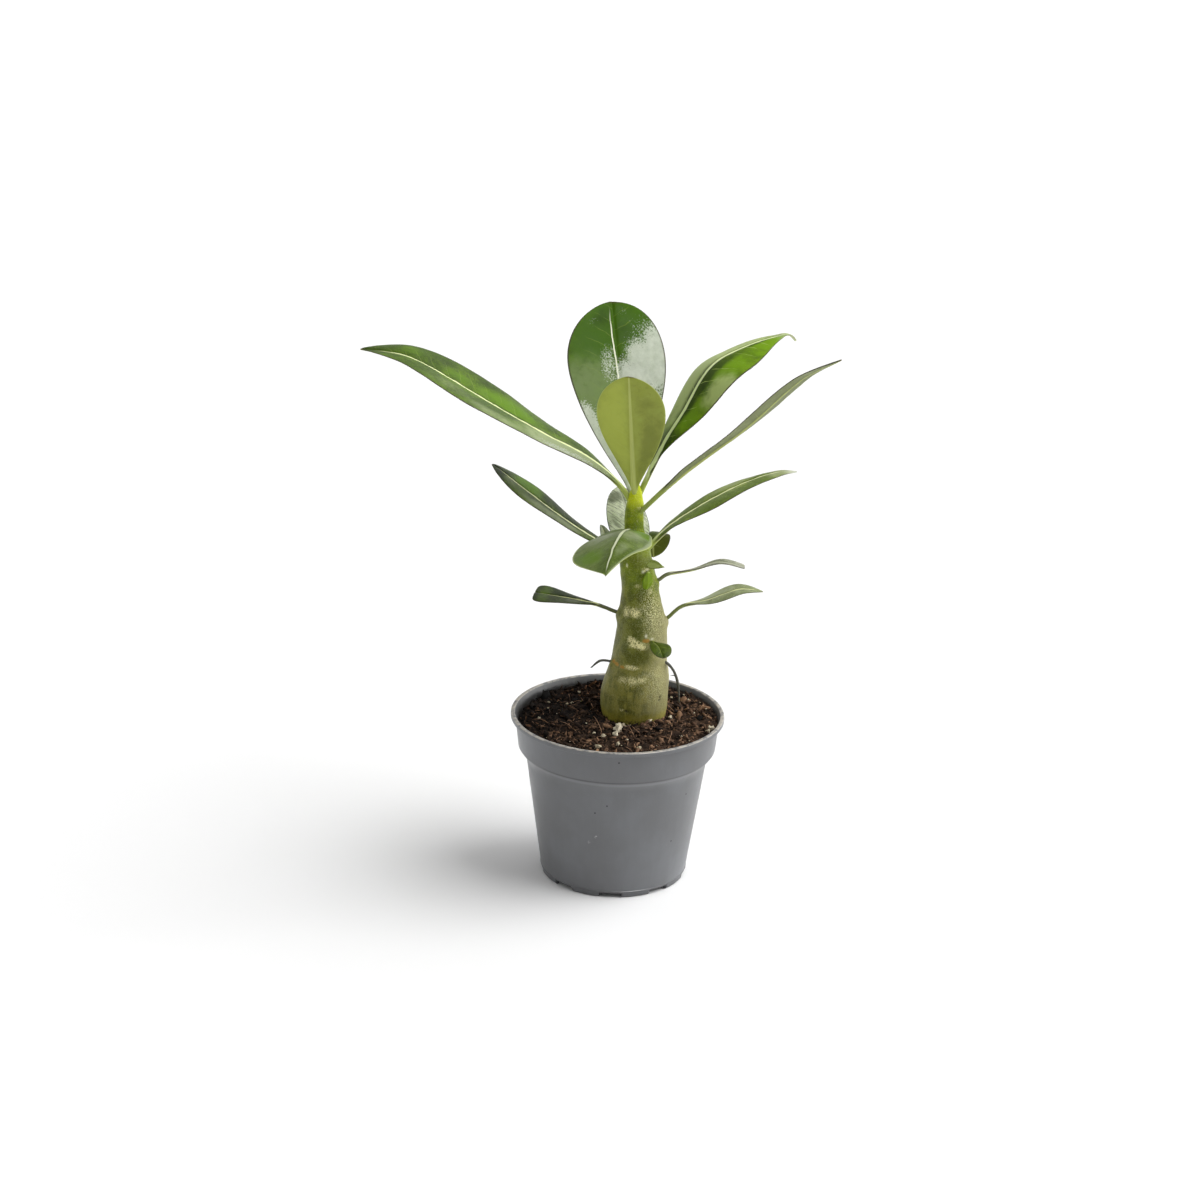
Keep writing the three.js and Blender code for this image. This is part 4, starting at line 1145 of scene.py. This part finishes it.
def spine_frame(leaf, shares, roll):
    """Centre, direction, left and up of each section of a leaf, and its length."""
    line, lengths = midrib(leaf)
    total = lengths[-1]

    def at(places):
        return np.stack([np.interp(places, lengths, line[:, axis]) for axis in range(3)], 1)

    centre = at(shares * total)
    ahead = at(np.minimum(shares * total + 0.3, total)) - at(np.maximum(shares * total - 0.3, 0))
    ahead /= np.linalg.norm(ahead, axis=1)[:, None]
    turn = math.radians(leaf["heading"])
    level = np.array([-math.sin(turn), math.cos(turn), 0])
    left = level - (ahead @ level)[:, None] * ahead
    left /= np.linalg.norm(left, axis=1)[:, None]
    up = np.cross(ahead, left)
    roll = np.radians(roll)[:, None]
    left, up = left * np.cos(roll) + up * np.sin(roll), up * np.cos(roll) - left * np.sin(roll)
    return centre, ahead, left, up, total


def blade_half(leaf, side, run):
    shape = (leaf["half"], leaf["swell"], leaf["blunt"])
    half, swell, blunt = (v[side] if isinstance(v, tuple) else v for v in shape)
    widest = swell / (swell + blunt)
    return half * (run / widest) ** swell * ((1 - run) / (1 - widest)) ** blunt


def spots(marks, run, across):
    """Soft spots on a leaf, each from its run, place across, half sizes and strength."""
    total = np.zeros_like(across)
    for place, aside, tall, wide, strength in marks:
        spot = np.exp(-np.abs((run - place) / tall) ** 2.6 - np.abs((across - aside) / wide) ** 2.6)
        total = np.maximum(total, strength * spot)
    return total


def make_leaf(leaf, material):
    name = leaf["name"]
    seed = 1 + sum(ord(letter) for letter in name) % 89
    stations = SMALL_STATIONS if midrib(leaf)[1][-1] < SMALL_LEAF else LEAF_STATIONS
    shares = 1 - (1 - np.arange(stations) / (stations - 1)) ** TIP_CROWDING
    centre, ahead, left, up, total = spine_frame(leaf, shares, mix(*leaf.get("roll", (0, 0)), shares))
    run = limit((shares - leaf["stalk"]) / (1 - leaf["stalk"]))
    flat = ease(run / STALK_FADE)[:, None]
    stalk, blade = leaf.get("thick", LEAF_THICK)
    tube_part = stalk / 2 * (1 - flat[:, 0])
    tip = leaf.get("tip", TIP_HALF) * np.sqrt(1 - 0.9 * limit((run - TIP_START) / (1 - TIP_START)) ** 2)
    halves = [np.maximum(np.hypot(blade_half(leaf, side, run), tube_part), tip) for side in (0, 1)]
    upper = np.array([*reversed(ACROSS), *(-p for p in ACROSS[1:])], float)
    places = np.concatenate([upper, upper[::-1]])
    is_lower = np.concatenate([np.zeros(len(upper)), np.ones(len(upper))])[None]
    p = places[None]
    half = np.where(p > 0, halves[0][:, None], halves[1][:, None])
    reach = p * half
    fold = np.radians(np.where(p > 0, *leaf["fold"])) * flat
    height, count, phase = leaf["wave"]
    ripple = height * p ** 2 * np.sin(2 * np.pi * count * shares[:, None] + phase + p)
    distance = (shares * total)[:, None]
    turn = (distance - VEIN_SLOPE * np.abs(reach)) / VEIN_SPACING + 0.5 * (p > 0)
    quilt = QUILT_HEIGHT * np.cos(2 * np.pi * turn) * ease(np.abs(p) / 0.12) * (1 - np.abs(p))
    quilt = quilt * min(half.max() / 12, 1)
    groove = GROOVE_DEPTH * np.exp(-(reach / GROOVE_WIDTH) ** 2) * (1 - is_lower)
    crown = np.sqrt(np.maximum(1 - p ** 2, 0))
    rib = (stalk - blade) * (1 - run[:, None]) * np.exp(-(reach / (0.42 * stalk)) ** 2)
    sheet = blade / 2 * (0.28 + 0.72 * crown)
    sheet = np.where(is_lower > 0, -sheet - rib, sheet)
    round_part = crown * stalk / 2 * np.where(is_lower > 0, -1, 1)
    surface = centre[:, None] + left[:, None] * (reach * np.cos(fold))[..., None]
    surface += ahead[:, None] * (leaf.get("skew", 0) * reach * ease(run)[:, None])[..., None]
    lumps = 0.22 * grain(surface, 16, seed) + 0.08 * grain(surface, 6, seed + 1)
    relief = ripple - leaf["curl"] * half * p ** 2 + quilt - groove + lumps
    lift = np.abs(reach) * np.sin(fold) + flat * relief + mix(round_part, sheet, flat)
    points = surface + up[:, None] * lift[..., None]
    ones = np.ones_like(reach)
    values = {
        "across": ones * p, "reach": reach, "along": ones * distance, "run": ones * run[:, None],
        "under": ones * is_lower, "side": ones * (p > 0),
    }
    for key in ("vivid", "pale", "dark", "wet_glare"):
        values[key] = spots(LEAF_MARKS.get(name, {}).get(key, []), run[:, None], ones * p)
    faces = loft_faces(stations, len(places))
    make_piece(name + "_blade", points.reshape(-1, 3), faces, material, "leaf", [name], values)


def leaf_material(name, deep, bright, under, veins=0.28, rib=(226, 230, 170), rib_width=0.8,
                  stalk=(166, 180, 84), edge=(74, 72, 52), sheen=0.15, rough=0.3, vivid=(96, 134, 6),
                  pale=(134, 146, 100), rib_lean=0.0, tip=(92, 80, 60), tip_start=0.985, streaks=0.0,
                  vein_tone=(150, 170, 70), low_rib=(186, 194, 112)):
    """Green upper face with a cream midrib and faint side veins; paler, duller under face."""
    look = Look(name)
    patches = look.clouds(13, 4)
    flecks = look.clouds(2.2, 5, rough=0.62)
    ragged = look.plus(look.times(look.clouds(4, 5, rough=0.55), 1.4), 0.3)
    distance, reach, run = look.value("along"), look.value("reach"), look.value("run")
    from_rib = look.calc("ABSOLUTE", reach)
    across = look.calc("ABSOLUTE", look.value("across"))

    def mark(key):
        return look.rise(look.times(look.value(key), ragged), 0.12, 0.9)

    look.colour = look.blend(look.rise(patches, 0.4, 0.62), deep, bright)
    look.paint(shade(deep, 0.65), look.rise(flecks, 0.48, 0.7), 0.5)
    spatter = look.rise(look.clouds(0.9, 4, rough=0.65), 0.55, 0.7)
    look.paint(tuple(min(v * 1.4 + 12, 255) for v in bright), spatter, 0.3)
    look.paint(vivid, mark("vivid"))
    # Pale marks: a paler film, partly a painted sheen.
    look.paint(pale, mark("pale"), 0.8)
    if streaks:
        slant = look.less(distance, look.times(reach, 1.2))
        drawn = look.add("ShaderNodeCombineXYZ", {0: look.times(slant, 0.0009), 1: look.times(reach, 0.0002)})
        lines = look.rise(look.clouds(0.9, 4, drawn.outputs[0]), 0.5, 0.6)
        look.paint(shade(deep, 0.5), lines, streaks)
    look.paint(shade(deep, 0.6), mark("dark"), 0.8)

    place = look.less(look.plus(distance, look.uneven(9, 2, 5)), look.times(from_rib, VEIN_SLOPE))
    turn = look.plus(look.calc("DIVIDE", place, VEIN_SPACING), look.times(look.value("side"), 0.5))
    away = look.distance(look.calc("FRACT", turn), 0.5)
    vein = look.rise(look.times(away, VEIN_SPACING), 0.36, 0.06)
    vein = look.times(vein, look.rise(across, 0.9, 0.3))
    vein = look.times(vein, look.rise(run, 0.05, 0.3))
    vein = look.times(vein, look.rise(look.clouds(6, 3), 0.35, 0.62))
    look.paint(vein_tone, vein, veins)

    width = look.times(rib_width, look.less(1.15, look.times(run, 0.85)))
    kink = look.less(look.uneven(8, 2, 1.3), look.times(look.rise(run, 0.4, 0.85), rib_lean))
    spread = look.calc("DIVIDE", look.calc("ABSOLUTE", look.plus(reach, kink)), width)
    fade = look.rise(run, 0.98, 0.85)
    # Painted shade: a dark line in the groove beside the midrib.
    look.paint(shade(deep, 0.6), look.times(look.rise(spread, 2.3, 1.2), fade), 0.45)
    look.paint(rib, look.times(look.rise(spread, 1.15, 0.7), fade))
    upper_face = look.colour

    look.colour = look.blend(look.rise(patches, 0.35, 0.65), under, tuple(v + 10 for v in under))
    look.paint(shade(under, 0.75), look.rise(flecks, 0.5, 0.7), 0.25)
    look.paint(shade(under, 1.2), mark("pale"), 0.7)
    look.paint(shade(under, 0.8), mark("dark"), 0.7)
    look.paint((178, 188, 110), vein, veins)
    look.paint(low_rib, look.rise(look.calc("DIVIDE", from_rib, width), 1.9, 1.0), 0.75)
    is_under = look.value("under")
    look.colour = look.blend(is_under, upper_face, look.colour)

    # Painted glare: a pale, mottled reflection on the upper face over the marked patches, which are also
    # glossier.
    wet_glare_place = look.value("wet_glare")
    wet_glare = look.rise(look.plus(wet_glare_place, look.uneven(0.8, 5, 1.5, 0.7)), 0.38, 0.66)
    wet_glare = look.times(wet_glare, look.rise(wet_glare_place, 0.1, 0.35))
    wet_glare = look.times(wet_glare, look.less(1, is_under))
    wet_glare = look.times(wet_glare, look.plus(0.55, look.times(look.clouds(3.5, 5, rough=0.65), 0.8)))
    look.paint((212, 218, 202), wet_glare, 0.85)
    look.paint(edge, look.rise(across, 0.955, 0.995))
    look.paint(tip, look.rise(run, tip_start, 1), 0.7)
    look.paint(stalk, look.rise(run, 0.07, 0.0))
    gloss = look.plus(rough, look.times(look.clouds(1.2, 4), rough * 0.5))
    gloss = look.less(look.plus(gloss, look.times(is_under, 0.16)), look.times(wet_glare, rough * 0.6))
    look.coat(gloss, sheen)
    relief = look.plus(look.times(look.clouds(0.5, 3), 0.35), look.times(flecks, 0.6))
    look.bump(look.less(relief, look.times(vein, 0.3)), 0.2, 0.9)
    return look.material


def dried_material():
    look = Look("dried_stalk")
    look.set(Base_Color=look.blend(look.clouds(1.6, 3), (24, 24, 16), (78, 76, 52)), Roughness=0.7)
    look.bump(look.clouds(0.5, 3, look.stretch(1, 1, 0.4)), 0.2, 0.9)
    return look.material


def make_dried_stalk(stalk, material):
    name = stalk["name"]
    shares = np.linspace(0, 1, STALK_STATIONS)
    centre = spine_frame(stalk, shares, np.zeros(STALK_STATIONS))[0]
    rng = random.Random(len(name))
    radii = []
    for share in shares:
        uneven = 1 + 0.16 * math.sin(9 * share + 2) + rng.uniform(-0.06, 0.06)
        radii.append(mix(*stalk["thick"], share) / 2 * uneven)
    radii[-1] *= 0.4
    parts = [tube(centre, radii, 12)]
    if name.endswith("right"):
        root = Vector(centre[20])
        path = [root, root + Vector((-1.2, -0.3, 0.5)), root + Vector((-2.8, -0.6, 0.2))]
        parts.append(tube(path, [0.35, 0.25, 0.1], 8))
    make_piece(name + "_skin", *join_parts(parts), material, "dried_stalk", [name])


# Studio.
def shine_from(light, towards):
    """Turns a light so that it shines from the given direction."""
    light.rotation_mode = "QUATERNION"
    light.rotation_quaternion = towards.to_track_quat("Z", "Y")


def make_room():
    world = bpy.data.worlds.new("room")
    bpy.context.scene.world = world
    look = Look("room", world)
    way = look.add("ShaderNodeTexCoord").outputs["Generated"]
    x, y, _ = look.add("ShaderNodeSeparateXYZ", {0: way}).outputs
    turn = math.radians(ROOM_RIGHT_HEADING)
    right = look.plus(look.times(x, math.cos(turn)), look.times(y, math.sin(turn)))
    right = look.calc("POWER", look.calc("MAXIMUM", right, 0.0), ROOM_RIGHT_BEND)
    right = look.times(right, ROOM_RIGHT)
    back = look.times(look.calc("MAXIMUM", y, 0.0), ROOM_BACK)
    left = look.times(look.calc("MINIMUM", x, 0.0), -ROOM_LEFT)
    walls = look.plus(look.plus(right, back), left)
    look.set(Color=(1, 1, 1, 1), Strength=look.plus(walls, ROOM_DIM))


def make_lights():
    sun = bpy.data.lights.new("sun", "SUN")
    sun.energy = SUN_STRENGTH
    sun.angle = math.radians(SUN_ANGLE)
    heading, height = math.radians(SUN_HEADING), math.radians(SUN_HEIGHT)
    level = math.cos(height)
    towards = Vector((math.cos(heading) * level, math.sin(heading) * level, math.sin(height)))
    shine_from(add_object("sun", sun), towards)
    box = bpy.data.lights.new("softbox", "AREA")
    box.size = SOFTBOX_SIZE * MM
    box.energy = SOFTBOX_POWER
    softbox = add_object("softbox", box)
    softbox.visible_diffuse = False
    softbox.location = Vector(SOFTBOX_AT) * MM
    shine_from(softbox, Vector(SOFTBOX_AT) - Vector(SOFTBOX_TARGET))


def make_floor():
    half = FLOOR_SIZE * MM / 2
    mesh = bpy.data.meshes.new("floor")
    corners = [(-half, -half, 0), (half, -half, 0), (half, half, 0), (-half, half, 0)]
    mesh.from_pydata(corners, [], [(0, 1, 2, 3)])
    floor = add_object("floor", mesh)
    look = Look("floor")
    look.set(Base_Color=(FLOOR_SHADE, FLOOR_SHADE, FLOOR_SHADE, 1), Roughness=0.9, Specular_IOR_Level=0)
    mesh.materials.append(look.material)


make_camera()
make_room()
make_lights()
make_floor()
bpy.context.scene.view_settings.view_transform = "Standard"
make_pot()
make_soil()
grit_draws = random.Random(21)
grit_rim = pot_radius(SOIL_LEVEL) - WALL - 1
make_grit(grit_draws, grit_rim)
make_fibres(grit_draws, grit_rim)
make_scraps(grit_draws)
make_stem()

for leaf in LEAVES:
    make_leaf(leaf, leaf_material(leaf["name"], **LEAF_LOOKS[leaf["name"]]))
dried = dried_material()
for stalk in DRIED_STALKS:
    make_dried_stalk(stalk, dried)
